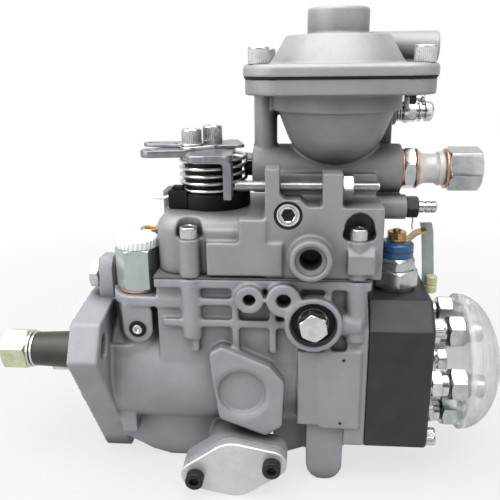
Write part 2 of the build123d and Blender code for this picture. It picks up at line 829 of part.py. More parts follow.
def make_spring_seat():
    """Bridge that passes the force of the two return springs to the plunger foot."""
    half = SEAT_HALF_Y - SEAT_HALF_Z
    outline = hull((-half, 0, SEAT_HALF_Z), (half, 0, SEAT_HALF_Z), (0, 0, FOOT_R + 2))
    return solid("x", SEAT_X, SEAT_X + SEAT_T, outline - disc(PLUNGER_R + 0.3))


def make_plunger_springs():
    start = SEAT_X + SEAT_T
    pieces = []
    for side in (-1, 1):
        pieces.append(coil("x", start, SPIGOT_X, PLUNGER_SPRING_R, PLUNGER_WIRE_R, 9,
                           side * SPRING_Y, 0))
    return pieces


def make_spool():
    """Ring that slides on the plunger, with a socket for the lever's ball."""
    spool = tube("x", SPOOL_X, SPOOL_X + SPOOL_LENGTH, SPOOL_R, PLUNGER_R + RUN)
    return spool - rod("z", PLUNGER_R + 1, SPOOL_R + 1, BALL_R + 0.1, LEVER_PIVOT_X, 0)


# ---------------------------------------------------------------- distributor head
def head_outline():
    y, z = HEAD_HALF_Y, HEAD_HALF_Z
    b, c, low = HEAD_BEVEL_Y, HEAD_BEVEL_Z, HEAD_LOW_BEVEL_Y
    points = [(-y, c - z), (-y, z - c), (b - y, z), (y - b, z), (y, z - c), (y, c - z),
              (y - low, -z), (low - y, -z)]
    return make_face(Polyline(*points, close=True))


def outlet_places():
    angles = [math.radians(360 * k / OUTLETS) for k in range(OUTLETS)]
    return [(OUTLET_RING_R * math.cos(t), OUTLET_RING_R * math.sin(t)) for t in angles]


def head_screw_places():
    return [(sy * HEAD_SCREW_Y, sz * HEAD_SCREW_Z) for sy in (-1, 1) for sz in (-1, 1)]


def make_head():
    head = solid("x", HEAD_X, HEAD_END_X, head_outline())
    head = chamfer(head.faces().sort_by(Axis.X)[-1].edges(), 1.5)
    head += rod("x", SPIGOT_X, HEAD_X, SPIGOT_R)
    head -= rod("x", SPIGOT_X, HEAD_END_X, BARREL_R)
    for y, z in outlet_places():
        head -= rod("x", HEAD_END_X - HOLDER_DEPTH, HEAD_END_X, HOLDER_R, y, z)
        head -= rod("x", HEAD_END_X - HOLDER_DEPTH - 6, HEAD_END_X, 1.5, y, z)
    for y, z in head_screw_places():
        head -= rod("x", HEAD_X, HEAD_END_X, 3.3, y, z)
    head -= rod("z", SOLENOID_FLOOR_Z, HEAD_HALF_Z, INLET_THREAD_R, SOLENOID_X, SOLENOID_Y)
    head -= rod("z", BARREL_R - 2, SOLENOID_FLOOR_Z, 3.5, SOLENOID_X, SOLENOID_Y)
    return head


def make_barrel():
    barrel = tube("x", BARREL_START_X, BARREL_END_X, BARREL_R, PLUNGER_R + RUN)
    for y, z in outlet_places():
        angle = math.degrees(math.atan2(z, y))
        port = rod("z", PLUNGER_R, BARREL_R, 1.2, PLUNGER_END_X - 22, 0)
        barrel -= around_x(port, angle - 90)
    return barrel


def make_head_screws():
    length = HEAD_END_X - HEAD_X + HEAD_SCREW_DEPTH
    return group([cap_screw("x", HEAD_END_X, 1, M6_R, length, y, z, head_r=5.2, head_h=6.0)
                  for y, z in head_screw_places()])


def make_head_plug():
    """Screw plug in the middle of the head, with a smaller bleed screw in it."""
    plug = rod("x", BARREL_END_X, HEAD_END_X, BARREL_R)
    plug += hex_bar("x", HEAD_END_X, HEAD_END_X + 8.5, 19)
    plug += rod("x", HEAD_END_X + 8.5, HEAD_END_X + 10.5, 6)
    return plug + hex_bar("x", HEAD_END_X + 10.5, HEAD_END_X + 16, 12)


def make_delivery_holders():
    """Outlet fittings screwed into the head, each with a union nut on its neck."""
    pieces = []
    base = HEAD_END_X - HOLDER_DEPTH
    shoulder = HOLDER_HEX_X + HOLDER_HEX_T
    for y, z in outlet_places():
        holder = rod("x", base, HOLDER_HEX_X, HOLDER_R, y, z)
        holder += hex_bar("x", HOLDER_HEX_X, shoulder, HOLDER_HEX_AF, y, z, turn=30)
        holder += rod("x", shoulder, HOLDER_END_X, HOLDER_NECK_R, y, z)
        holder -= rod("x", base, VALVE_CHAMBER_END_X, VALVE_CHAMBER_R, y, z)
        holder -= rod("x", VALVE_CHAMBER_END_X, HOLDER_END_X, 1.5, y, z)
        nut = hex_bar("x", UNION_X, UNION_X + UNION_LENGTH, UNION_AF, y, z, turn=30)
        nut += taper("x", UNION_X + UNION_LENGTH, UNION_X + UNION_LENGTH + 2.5, 8, 6.5, y, z)
        nut -= rod("x", UNION_X, UNION_X + UNION_LENGTH + 3, HOLDER_NECK_R, y, z)
        pieces += [holder, nut]
    return group(pieces)


def make_delivery_valves():
    pieces = []
    start = HEAD_END_X - HOLDER_DEPTH
    for y, z in outlet_places():
        valve = rod("x", start, start + 3, VALVE_R, y, z)
        valve += rod("x", start + 3, start + 10, 2.0, y, z)
        pieces.append(valve)
    return group(pieces)


def make_internal_springs():
    """Return springs of the plunger and of the delivery valves."""
    pieces = make_plunger_springs()
    for y, z in outlet_places():
        start = HEAD_END_X - HOLDER_DEPTH + 3
        pieces.append(coil("x", start, VALVE_CHAMBER_END_X, 2.7, 0.5, 8, y, z))
    return group(pieces)


# ---------------------------------------------------------------- timing device
def make_timing_piston():
    """Piston with a socket for the ring's pin, and a deep pocket for its spring."""
    end = PISTON_START_Y + PISTON_LENGTH
    piston = rod("y", PISTON_START_Y, end, TIMING_R, TIMING_X, TIMING_Z)
    piston -= rod("y", SPRING_POCKET_Y, end, TIMING_R - 3.5, TIMING_X, TIMING_Z)
    socket = rod("z", TIMING_Z - PIN_BALL_R - 1, TIMING_Z + TIMING_R, PIN_BALL_R + 0.1, TIMING_X, 0)
    mouth = hull((TIMING_X, -5, PIN_BALL_R), (TIMING_X, 5, PIN_BALL_R))
    socket += solid("z", TIMING_Z + 5, TIMING_Z + TIMING_R + 1, mouth)
    return piston - socket


def make_timing_spring():
    return coil("y", SPRING_POCKET_Y, TIMING_END_Y, 6.5, 1.1, 6, TIMING_X, TIMING_Z)


def timing_outline(radius, ear_r):
    """Round cover outline with an ear at each end, tilted across the piston axis."""
    dx = TIMING_EAR_OFFSET * math.cos(math.radians(TIMING_TILT))
    dz = TIMING_EAR_OFFSET * math.sin(math.radians(TIMING_TILT))
    return hull((TIMING_X, TIMING_Z, radius), (TIMING_X - dx, TIMING_Z - dz, ear_r),
                (TIMING_X + dx, TIMING_Z + dz, ear_r))


def timing_screw_places():
    dx = TIMING_EAR_OFFSET * math.cos(math.radians(TIMING_TILT))
    dz = TIMING_EAR_OFFSET * math.sin(math.radians(TIMING_TILT))
    return [(TIMING_X - dx, TIMING_Z - dz), (TIMING_X + dx, TIMING_Z + dz)]


def make_timing_covers():
    pieces = []
    for side in (-1, 1):
        near = side * TIMING_END_Y
        far = side * (TIMING_END_Y + TIMING_COVER_T)
        cover = solid("y", min(near, far), max(near, far), timing_outline(TIMING_COVER_R, TIMING_EAR_R))
        ring = tube("y", min(near, near + side * ORING_T), max(near, near + side * ORING_T),
                    ORING_R, ORING_R - 1.5, TIMING_X, TIMING_Z)
        cover = chamfer(cover.faces().sort_by(Axis.Y)[0 if side < 0 else -1].edges(), 0.8)
        for x, z in timing_screw_places():
            cover -= rod("y", min(near, far), max(near, far), M6_CLEAR_R, x, z)
        pieces.append(cover - ring)
    return group(pieces)


def make_timing_screws():
    pieces = []
    for side in (-1, 1):
        seat = side * (TIMING_END_Y + TIMING_COVER_T)
        for x, z in timing_screw_places():
            pieces.append(cap_screw("y", seat, side, M6_R, 15, x, z, head_r=5.2, head_h=6.0))
    return group(pieces)


# ---------------------------------------------------------------- pump housing
def flange_outline():
    """Plate outline whose straight sides join the tips of the three ears."""
    tips = []
    for degrees in EAR_ANGLES:
        angle = math.radians(degrees)
        for side in (-EAR_HALF, EAR_HALF):
            tips.append((EAR_REACH * math.cos(angle) - side * math.sin(angle),
                         EAR_REACH * math.sin(angle) + side * math.cos(angle)))
    top = [(FLANGE_TOP_HALF, FLANGE_TOP_Z), (-FLANGE_TOP_HALF, FLANGE_TOP_Z)]
    return make_face(Polyline(*tips[:2], *top, *tips[2:], close=True))


def ear_slot():
    """Curved slot that lets the pump turn on its studs for timing."""
    points = []
    for side in (-1, 0, 1):
        angle = math.radians(90 + side * SLOT_SWEEP)
        points.append((SLOT_RING_R * math.cos(angle), SLOT_RING_R * math.sin(angle)))
    return SlotArc(ThreePointArc(*points), 2 * SLOT_HALF_W)


def make_flange():
    flange = solid("x", 0, FLANGE_T, flange_outline())
    tip_edges = flange.edges().filter_by(Axis.X).sort_by_distance((0, 0, 0))[-6:]
    flange = fillet(tip_edges, 3)
    for angle in EAR_ANGLES:
        flange -= around_x(solid("x", 0, FLANGE_T, ear_slot()), angle - 90)
    return flange + rod("x", -PILOT_LENGTH, 0, PILOT_R)


def blank_boss():
    """Flat-topped cast boss on the near side with a round recess in it."""
    outline = [(82.8, 27.5), (109.5, 16.0), (117.5, 6.0), (116.3, -21.5), (107.0, -28.0),
               (80.8, -17.6), (77.8, 2.5), (76.0, 23.5)]
    boss = solid("y", BLANK_BOSS_Y, -30, make_face(Polyline(*outline, close=True)))
    boss = fillet(boss.edges().filter_by(Axis.Y), 3)
    at = (BLANK_RING_X, BLANK_RING_Z)
    boss -= rod("y", BLANK_BOSS_Y, BLANK_BOSS_Y + BLANK_RIM_DEPTH, BLANK_RIM_R, *at)
    boss -= rod("y", BLANK_BOSS_Y, BLANK_BOSS_Y + BLANK_RING_DEPTH, BLANK_RING_R, *at)
    return boss


def side_ribs():
    """Cross ribs that frame the pockets of the near wall."""
    ribs = block(*RIB_BAND_X, -RAIL_HALF_Y, RIB_ROOT_Y, *RIB_BAND_Z)
    ribs += block(*SHORT_RIB_X, -RAIL_HALF_Y, RIB_ROOT_Y, *SHORT_RIB_Z)
    for x in RIB_XS:
        ribs += block(x - RIB_HALF_W, x + RIB_HALF_W, -RAIL_HALF_Y, RIB_ROOT_Y,
                      RIB_LOW_Z, PARTING_Z - 1)
    return ribs


def near_bosses():
    bosses = rod("y", SIDE_BOSS_Y, RIB_ROOT_Y, SIDE_BOSS_R, SIDE_PLUG_X, SIDE_PLUG_Z)
    bosses += rod("y", FRONT_BOSS_Y, RIB_ROOT_Y, FRONT_BOSS_R, FRONT_BOSS_X, SMALL_BOSS_Z)
    bosses += rod("y", REAR_BOSS_Y, RIB_ROOT_Y, REAR_BOSS_R, REAR_BOSS_X, SMALL_BOSS_Z)
    bosses += rod("x", *TUBE_STUB_X, TUBE_STUB_R, TUBE_STUB_Y, TUBE_STUB_Z)
    bosses += block(*NEAR_PAD_X, NEAR_PAD_Y, -30, -NEAR_PAD_HALF_Z, NEAR_PAD_HALF_Z)
    bosses += block(*STRIP_X, STRIP_Y, -30, 1.5 - NEAR_PAD_HALF_Z, NEAR_PAD_HALF_Z - 0.5)
    socket_boss = hull((SOCKET_PLUG_X, SOCKET_PLUG_Z, SOCKET_BOSS_R),
                       (SOCKET_PLUG_X, SOCKET_BOSS_TOP_Z, SOCKET_BOSS_R))
    bosses += solid("y", SOCKET_PLUG_Y, -24, socket_boss)
    lug = hull(*[(LUG_X, z, LUG_R) for z in LUG_Z])
    return bosses + solid("y", *LUG_Y, lug)


def belly():
    """Sloping underside that runs from the foot of the flange to the timing device."""
    first_z, middle_z, last_z = BELLY_Z
    points = [(FLANGE_T - 1, -20), (FLANGE_T - 1, first_z), (BELLY_X[0], middle_z),
              (BELLY_X[1], last_z), (TIMING_X, last_z), (TIMING_X, -20)]
    return solid("y", -BELLY_HALF_Y, BELLY_HALF_Y, make_face(Polyline(*points, close=True)))


def rear_web():
    """Low web that joins the timing device to the lug behind it."""
    first_x, edge_x, corner_x, last_x = WEB_X
    edge_z, corner_z, last_z = WEB_Z
    points = [(first_x, -20), (first_x, edge_z), (edge_x, edge_z), (corner_x, corner_z),
              (last_x, last_z), (last_x, -20)]
    return solid("y", -WEB_HALF_Y, WEB_HALF_Y, make_face(Polyline(*points, close=True)))


def inlet_shelf():
    """Round seat of the fuel inlet and the shelf that joins it to the side wall."""
    seat = rod("z", INLET_PAD_LOW_Z, INLET_PAD_Z, INLET_COLUMN_R, INLET_X, INLET_Y)
    plan = hull((INLET_X, INLET_Y, INLET_SEAT_R), (SHELF_END_X, SHELF_END_Y, SHELF_END_R),
                (SHELF_END_X, 0, SHELF_END_R))
    shelf = solid("z", INLET_PAD_Z - SHELF_T, INLET_PAD_Z, plan)
    block_y, far_y = INLET_PAD_Y
    return seat + shelf + block(FLANGE_T, UPPER_X + 5, block_y, far_y, INLET_PAD_LOW_Z, INLET_PAD_Z)


def timing_cylinder():
    bore_wall = TIMING_R + TIMING_WALL
    body = rod("y", -TIMING_END_Y, TIMING_END_Y, bore_wall, TIMING_X, TIMING_Z)
    ears = timing_outline(TIMING_COVER_R, TIMING_EAR_R)
    for side in (-1, 1):
        near, far = sorted((side * (TIMING_END_Y - 13), side * TIMING_END_Y))
        body += solid("y", near, far, ears)
    return body


def housing_columns():
    columns = []
    for x in COVER_SCREW_XS:
        for side in (-1, 1):
            columns.append(rod("z", 30, PARTING_Z, COLUMN_R, x, side * COVER_SCREW_Y))
    return columns


def housing_outside():
    body = make_flange()
    body += rod("x", FLANGE_T, HEAD_X - 10, BARREL_OUTER_R)
    body += block(UPPER_X, HEAD_X - 5, -WALL_HALF_Y, WALL_HALF_Y, 0, PARTING_Z - 2)
    body += block(UPPER_X, HEAD_X, -RAIL_HALF_Y, RAIL_HALF_Y, PARTING_Z - RAIL_T, PARTING_Z)
    body += solid("x", HEAD_X - 12, HEAD_X, head_outline())
    body += inlet_shelf() + belly() + rear_web()
    body += rod("x", GOVERNOR_SHAFT_X - 2, UPPER_X + 2, 9, 0, GOVERNOR_Z)
    body += timing_cylinder()
    body += blank_boss() + side_ribs() + near_bosses()
    for column in housing_columns():
        body += column
    body += block(17, 30, -36, -20, 0, 22)
    body += block(18, 27, -30, -14, -40, 0)
    return body


def housing_cavity():
    cavity = rod("x", -PILOT_LENGTH, BUSH_START_X, SEAL_R)
    cavity += rod("x", BUSH_START_X, FEED_X, BUSH_R)
    cavity += rod("x", FEED_X, RING_X - 1, FEED_R)
    cavity += rod("x", RING_X - 1, RING_X + RING_LENGTH + 0.5, RING_R + RING_PLAY)
    cavity += rod("x", RING_X + RING_LENGTH, HEAD_X, SPIGOT_R)
    half = CHAMBER_HALF_Y
    cavity += block(CHAMBER_X, RING_X - 1, -half, half, 0, PARTING_Z)
    cavity += block(RING_X + RING_LENGTH, CHAMBER_END_X, -half, half, 0, PARTING_Z)
    cavity += block(CHAMBER_X, CHAMBER_END_X, -half, half, FLOOR_Z, PARTING_Z)
    cavity += rod("x", GOVERNOR_SHAFT_X, CHAMBER_X, GOVERNOR_SHAFT_R, 0, GOVERNOR_Z)
    bore_r = TIMING_R + TIMING_PLAY
    cavity += rod("y", -TIMING_END_Y, TIMING_END_Y, bore_r, TIMING_X, TIMING_Z)
    cavity += block(TIMING_X - 5.5, TIMING_X + 5.5, -6, 18, TIMING_Z, -RING_R + 3)
    reach = CHAMBER_HALF_Y + 3.7
    cavity += rod("y", -reach, reach, LEVER_PIVOT_R + RUN, LEVER_PIVOT_X, LEVER_PIVOT_Z)
    return cavity


def housing_holes():
    holes = []
    for x in COVER_SCREW_XS:
        for side in (-1, 1):
            holes.append(rod("z", PARTING_Z - 20, PARTING_Z, M6_R, x, side * COVER_SCREW_Y))
    for y, z in head_screw_places():
        holes.append(rod("x", HEAD_X - HEAD_SCREW_DEPTH, HEAD_X, M6_R, y, z))
    for x, z in timing_screw_places():
        depth = 15 - TIMING_COVER_T
        holes.append(rod("y", -TIMING_END_Y, depth - TIMING_END_Y, M6_R, x, z))
        holes.append(rod("y", TIMING_END_Y - depth, TIMING_END_Y, M6_R, x, z))
    floor = INLET_BORE_FLOOR_Z
    holes.append(rod("z", floor, INLET_PAD_Z, INLET_THREAD_R, INLET_X, INLET_Y))
    holes.append(rod("z", INLET_PASSAGE_END_Z, floor, INLET_PASSAGE_R, INLET_X, INLET_Y))
    holes.append(rod("z", floor, INLET_PAD_Z, VALVE_SEAT_R, VALVE_SEAT_X, VALVE_SEAT_Y))
    at = (SIDE_PLUG_X, SIDE_PLUG_Z)
    holes.append(rod("y", SIDE_BOSS_Y, SIDE_BOSS_Y + SIDE_RECESS, SIDE_BOSS_R - 2.9, *at))
    holes.append(rod("y", SIDE_BOSS_Y, BOSS_HOLE_END_Y, SIDE_PLUG_R, *at))
    holes.append(rod("y", FRONT_BOSS_Y, BOSS_HOLE_END_Y, FRONT_BOSS_HOLE_R, FRONT_BOSS_X, SMALL_BOSS_Z))
    holes.append(rod("y", REAR_BOSS_Y, BOSS_HOLE_END_Y, REAR_BOSS_HOLE_R, REAR_BOSS_X, SMALL_BOSS_Z))
    plug_end = SOCKET_PLUG_Y + SOCKET_PLUG_DEPTH + 0.5
    holes.append(rod("y", SOCKET_PLUG_Y, plug_end, M6_R, SOCKET_PLUG_X, SOCKET_PLUG_Z))
    return holes


def make_housing():
    housing = housing_outside() - housing_cavity()
    for hole in housing_holes():
        housing -= hole
    return housing


# ---------------------------------------------------------------- governor cover
def near_wall():
    """Near wall of the cover: two arms for the speed screw with a stepped notch between."""
    arm, rear, rear_end = FRONT_ARM_X, *REAR_ARM_X
    points = [(COVER_STEP_X, 96), (COVER_STEP_X, ARM_TOP_Z), (arm, ARM_TOP_Z),
              (arm, NOTCH_STEP_Z + 3), (arm + 2.5, NOTCH_STEP_Z), (rear - 11.5, NOTCH_STEP_Z),
              (rear - 7.5, NOTCH_FLOOR_Z), (rear, NOTCH_FLOOR_Z), (rear, REAR_ARM_TOP_Z),
              (rear_end, REAR_ARM_TOP_Z), (rear_end, COVER_HIGH_Z), (COVER_END_X, COVER_HIGH_Z),
              (COVER_END_X, 96)]
    return solid("y", COVER_FACE_Y, SPEED_SCREW_Y + 6, make_face(Polyline(*points, close=True)))


def bowl_profile(points):
    """Half section of a round bowl, given as (radius, height) pairs from its bottom up."""
    curve = Spline(*points)
    bottom_z = points[0][1]
    top_r, top_z = points[-1]
    sides = Polyline((top_r, top_z), (0, top_z), (0, bottom_z))
    return Plane.XZ * make_face([curve] + list(sides.edges()))


def bowl(points):
    return Pos(BOOST_X, 0, 0) * revolve(bowl_profile(points), Axis.Z)


def boost_outline(shrink=0.0):
    width = BOOST_FLANGE_X - 2 * shrink
    depth = BOOST_FLANGE_Y - 2 * shrink
    return Pos(BOOST_X, 0) * RectangleRounded(width, depth, BOOST_CORNER_R - shrink)


def boost_screw_places():
    return [(BOOST_X + sx * BOOST_SCREW_DX, sy * BOOST_SCREW_DY) for sx in (-1, 1) for sy in (-1, 1)]


def screw_ledge():
    """Block under the rear near screw, with its outer top edge sloped away."""
    ledge = block(*LEDGE_X, *LEDGE_Y, LEDGE_Z, COVER_SCREW_SEAT_Z)
    top_edges = ledge.edges().filter_by(Axis.X).sort_by(Axis.Z)[-2:]
    return chamfer(top_edges.sort_by(Axis.Y)[0], LEDGE_SLOPE)


def cover_outside():
    low_end = COVER_STEP_X + 20
    plan = RectangleRounded(low_end - COVER_X, 2 * COVER_LOW_HALF_Y, 14)
    low = solid("z", GASKET_Z, COVER_LOW_Z, Pos((COVER_X + low_end) / 2, 0) * plan)
    low = fillet(low.edges().group_by(Axis.Z)[-1], 8)
    high = block(COVER_STEP_X, COVER_END_X, COVER_FACE_Y, COVER_HALF_Y, GASKET_Z, COVER_HIGH_Z)
    body = low + high + near_wall()
    body += block(*SMALL_STEP_X, SMALL_STEP_Y, -34, *SMALL_STEP_Z)
    body += block(*BAND_STEP_X, STEP_Y, -34, *BAND_STEP_Z)
    body += block(*HIGH_STEP_X, STEP_Y, -34, BAND_STEP_Z[1] - 1, HIGH_STEP_TOP_Z)
    body += screw_ledge()
    body += rod("x", NECK_X, NECK_END_X, NECK_R, NECK_Y, NECK_Z)
    body += block(COVER_STEP_X, COVER_END_X - 2, -14, 24, COVER_LOW_Z, NECK_Z)
    body += bowl(BOWL_OUTSIDE)
    body += rod("z", BOWL_COLLAR_Z, BOWL_FLANGE_Z + 1, BOWL_COLLAR_R, BOOST_X, 0)
    body += solid("z", BOWL_FLANGE_Z, BOWL_TOP_Z, boost_outline(1.0))
    pipe_x = NECK_X + COLUMN_PIPE_R + 0.7
    body += rod("z", NECK_Z, BOWL_FLANGE_Z + 1, COLUMN_PIPE_R, pipe_x, 2.3)
    body += rod("x", COVER_END_X - 5, FULL_LOAD_X, FULL_LOAD_R, FULL_LOAD_Y, FULL_LOAD_Z)
    body += rod("y", PORT_Y, -36, PORT_R, PORT_X, PORT_Z)
    body += block(150, STOP_BOSS_END_X - 4, 20, STOP_Y + 5, COVER_LOW_Z, STOP_Z)
    body += rod("x", 150, STOP_BOSS_END_X, 8, STOP_Y, STOP_Z)
    body += block(COVER_X, COVER_X + 9, -7, 7, COVER_LOW_Z - 5, COVER_LOW_Z + 9)
    body += rod("z", COVER_LOW_Z - 6, COVER_LOW_Z + 6, 9, CONTROL_X, 0)
    for x in COVER_SCREW_XS:
        for side in (-1, 1):
            body += rod("z", GASKET_Z, COVER_SCREW_SEAT_Z, COLUMN_R, x, side * COVER_SCREW_Y)
    return body


def front_screw_room(side, radius, low, high):
    """Upright room round a front cover screw, open to its side of the cover."""
    x = COVER_SCREW_XS[0]
    plan = hull((x, side * COVER_SCREW_Y, radius), (x, side * (COVER_SCREW_Y + 15), radius))
    return solid("z", low, high, plan)


def screw_pockets():
    """Room around the heads of the four cover screws, open to the sides."""
    pockets = []
    for side in (-1, 1):
        pockets.append(front_screw_room(side, POCKET_R, COVER_SCREW_SEAT_Z, ARM_TOP_Z))
        arch = hull((COVER_SCREW_XS[1], 95, 7.5), (COVER_SCREW_XS[1] - 5.5, 90.5, 3.0),
                    (COVER_SCREW_XS[1] + 5.5, 90.5, 3.0))
        low, high = sorted((side * 30, side * 46))
        pockets.append(solid("y", low, high, arch))
    return pockets


def cover_cavity():
    half = CHAMBER_HALF_Y
    cavity = block(CHAMBER_X, COVER_STEP_X + 4, -half, half, GASKET_Z, COVER_LOW_Z - COVER_WALL)
    cavity = fillet(cavity.edges().filter_by(Axis.Z).sort_by(Axis.X)[:2], 10)
    for side in (-1, 1):
        cavity -= front_screw_room(side, POCKET_R + POCKET_WALL,
                                   COVER_SCREW_SEAT_Z - POCKET_WALL, COVER_LOW_Z)
    high = block(COVER_STEP_X + 4, CHAMBER_END_X - 5, -half + 4, half, GASKET_Z, COVER_HIGH_Z - 5)
    cavity += high
    cavity += bowl(BOWL_INSIDE)
    cavity += rod("z", COVER_HIGH_Z - 10, 136, BOOST_PIN_R + RUN, BOOST_X, 0)
    return cavity


def make_cover():
    cover = cover_outside() - cover_cavity()
    for pocket in screw_pockets():
        cover -= pocket
    for x in COVER_SCREW_XS:
        for side in (-1, 1):
            cover -= rod("z", GASKET_Z, COVER_SCREW_SEAT_Z, M6_CLEAR_R, x, side * COVER_SCREW_Y)
    for x, y in boost_screw_places():
        cover -= rod("z", BOWL_FLANGE_Z, BOWL_TOP_Z, M6_R, x, y)
    cover -= rod("z", COVER_LOW_Z - 10, COVER_LOW_Z + 6, CONTROL_R + RUN, CONTROL_X, 0)
    cover -= rod("x", COVER_STEP_X, REAR_ARM_X[1], SPEED_SCREW_R, SPEED_SCREW_Y, SPEED_SCREW_Z)
    cover -= rod("x", COVER_END_X - 2, FULL_LOAD_X, M6_R, FULL_LOAD_Y, FULL_LOAD_Z)
    cover -= rod("x", NECK_END_X - 16, NECK_END_X, RETURN_STEM_R, NECK_Y, NECK_Z)
    cover -= rod("y", PORT_Y, PORT_Y + 3.5, PORT_R - 2.8, PORT_X, PORT_Z)
    cover -= rod("y", PORT_Y, PORT_Y + PORT_DEPTH, PORT_BORE_R, PORT_X, PORT_Z)
    cover -= rod("y", COVER_FACE_Y, COVER_FACE_Y + 7, FACE_PLUG_R, FACE_PLUG_X, FACE_PLUG_Z)
    cover -= rod("x", 160, STOP_BOSS_END_X, STOP_R + RUN, STOP_Y, STOP_Z)
    return cover


def make_cover_screws():
    screws = []
    for x in COVER_SCREW_XS:
        for side in (-1, 1):
            length = COVER_SCREW_SEAT_Z - PARTING_Z + 14
            screws.append(cap_screw("z", COVER_SCREW_SEAT_Z, 1, M6_R, length, x,
                                    side * COVER_SCREW_Y, head_r=4.8, head_h=6.5))
    length = LID_CONE_Z - BOWL_FLANGE_Z - 1
    for x, y in boost_screw_places():
        screws.append(cap_screw("z", LID_CONE_Z, 1, M6_R, length, x, y, head_r=5.3, head_h=8.0))
    return group(screws)


def make_seals():
    """Shaft seal, cover gasket and the two rings behind the timing covers."""
    shaft_seal = tube("x", -PILOT_LENGTH + 0.5, BUSH_START_X, SEAL_R, SHAFT_R + 0.05)
    shaft_seal -= tube("x", -PILOT_LENGTH, BUSH_START_X - 4, SEAL_R - 2, SHAFT_R + 1.5)
    half = CHAMBER_HALF_Y
    gasket = block(UPPER_X, HEAD_X, -RAIL_HALF_Y, RAIL_HALF_Y, PARTING_Z, GASKET_Z)
    gasket -= block(CHAMBER_X, CHAMBER_END_X, -half, half, PARTING_Z, GASKET_Z)
    for x in COVER_SCREW_XS:
        for side in (-1, 1):
            gasket -= rod("z", PARTING_Z, GASKET_Z, M6_CLEAR_R, x, side * COVER_SCREW_Y)
    rings = []
    for side in (-1, 1):
        low, high = sorted((side * TIMING_END_Y, side * (TIMING_END_Y + ORING_T)))
        rings.append(tube("y", low, high, ORING_R, ORING_R - 1.5, TIMING_X, TIMING_Z))
    return group([shaft_seal, gasket] + rings)


# ---------------------------------------------------------------- boost compensator
def make_diaphragm():
    sheet = solid("z", BOWL_TOP_Z, LID_Z, boost_outline(0.5))
    sheet -= rod("z", BOWL_TOP_Z, LID_Z, BOOST_PIN_R + 0.05, BOOST_X, 0)
    for x, y in boost_screw_places():
        sheet -= rod("z", BOWL_TOP_Z, LID_Z, M6_CLEAR_R, x, y)
    return sheet


def make_boost_lid():
    lid = solid("z", LID_Z, LID_CONE_Z, boost_outline())
    lid = fillet(lid.faces().sort_by(Axis.Z)[-1].edges(), 2.5)
    lid += taper("z", LID_CONE_Z, LID_TOWER_Z, LID_CONE_R, LID_CONE_TOP_R, BOOST_X, 0)
    tower_end = LID_TOWER_Z + LID_TOWER_H
    tower = rod("z", LID_TOWER_Z, tower_end, LID_TOWER_R, BOOST_X, 0)
    lid += fillet(tower.edges().sort_by(Axis.Z)[-1], 1.5)
    pipe_z = LID_CONE_Z + AIR_PIPE_R - 1.0
    lid += rod("x", BOOST_X + 18, AIR_END_X, AIR_PIPE_R, AIR_Y, pipe_z)
    lid -= taper("z", LID_Z, LID_TOWER_Z - 4, LID_CONE_R - 3, LID_CONE_TOP_R - 3, BOOST_X, 0)
    lid -= rod("z", LID_Z, tower_end - 4, LID_TOWER_R - 4, BOOST_X, 0)
    lid -= rod("x", BOOST_X + 10, AIR_END_X, AIR_BORE_R, AIR_Y, pipe_z)
    for x, y in boost_screw_places():
        lid -= rod("z", LID_Z, LID_CONE_Z, M6_CLEAR_R, x, y)
    return lid


def make_boost_pin():
    """Control pin with the two plates that clamp the diaphragm."""
    pin = rod("z", COVER_HIGH_Z - 1, LID_Z + 6, BOOST_PIN_R, BOOST_X, 0)
    pin += rod("z", BOWL_TOP_Z - 2, BOWL_TOP_Z, BOOST_PLATE_R, BOOST_X, 0)
    pin += rod("z", LID_Z, LID_Z + 2, BOOST_PLATE_R, BOOST_X, 0)
    pin += hex_bar("z", LID_Z + 2, LID_Z + 5, 11, BOOST_X, 0)
    return pin


def make_boost_spring():
    floor = BOWL_INSIDE[1][1] + 0.1
    return coil("z", floor, BOWL_TOP_Z - 2, 11.5, 1.4, 5, BOOST_X, 0)


# ---------------------------------------------------------------- control lever
def make_control_shaft():
    """Vertical shaft with an eccentric pin that tensions the governor spring."""
    shaft = rod("z", LEVER_TOP_Z, LEVER_Z + LEVER_T, CONTROL_R, CONTROL_X, 0)
    web = hull((CONTROL_X, 0, CRANK_HUB_R), (CONTROL_X + CRANK_ARM, 0, 3.5))
    shaft += solid("z", LEVER_TOP_Z, LEVER_TOP_Z + CRANK_T, web)
    shaft += rod("z", GOVERNOR_SPRING_Z - 3, LEVER_TOP_Z + 1, CRANK_PIN_R, CONTROL_X + CRANK_ARM, 0)
    return shaft - rod("z", LEVER_Z - 9, LEVER_Z + LEVER_T, M6_R, CONTROL_X, 0)


def make_control_lever():
    """Lever plate with a rod arm and a tab bent down to meet the speed screw."""
    tab_y = TAB_Y + TAB_WIDTH / 2
    arm = hull((CONTROL_X, 0, LEVER_HUB_R), (ARM_TIP_X, ARM_TIP_Y, ARM_TIP_R))
    reach = hull((CONTROL_X, 0, LEVER_REACH_R), (TAB_FACE_X - 6, tab_y, LEVER_TAB_HALF),
                 (TAB_X - 14, tab_y, LEVER_TAB_HALF))
    lever = solid("z", LEVER_Z, LEVER_Z + LEVER_T, arm + reach)
    tab = block(TAB_X, TAB_FACE_X, TAB_Y, TAB_Y + TAB_WIDTH, LEVER_Z - TAB_DROP, LEVER_Z + LEVER_T)
    tab = fillet(tab.edges().filter_by(Axis.Y).group_by(Axis.Z)[-1].sort_by(Axis.X)[-1], 3.5)
    lever = lever + tab
    lever -= rod("z", LEVER_Z, LEVER_Z + LEVER_T, CONTROL_R, CONTROL_X, 0)
    lever -= rod("z", LEVER_Z, LEVER_Z + LEVER_T, ARM_HOLE_R, ARM_TIP_X, ARM_TIP_Y)
    return lever - rod("z", LEVER_Z, LEVER_Z + LEVER_T, M6_R, CLAMP_X, CLAMP_Y)


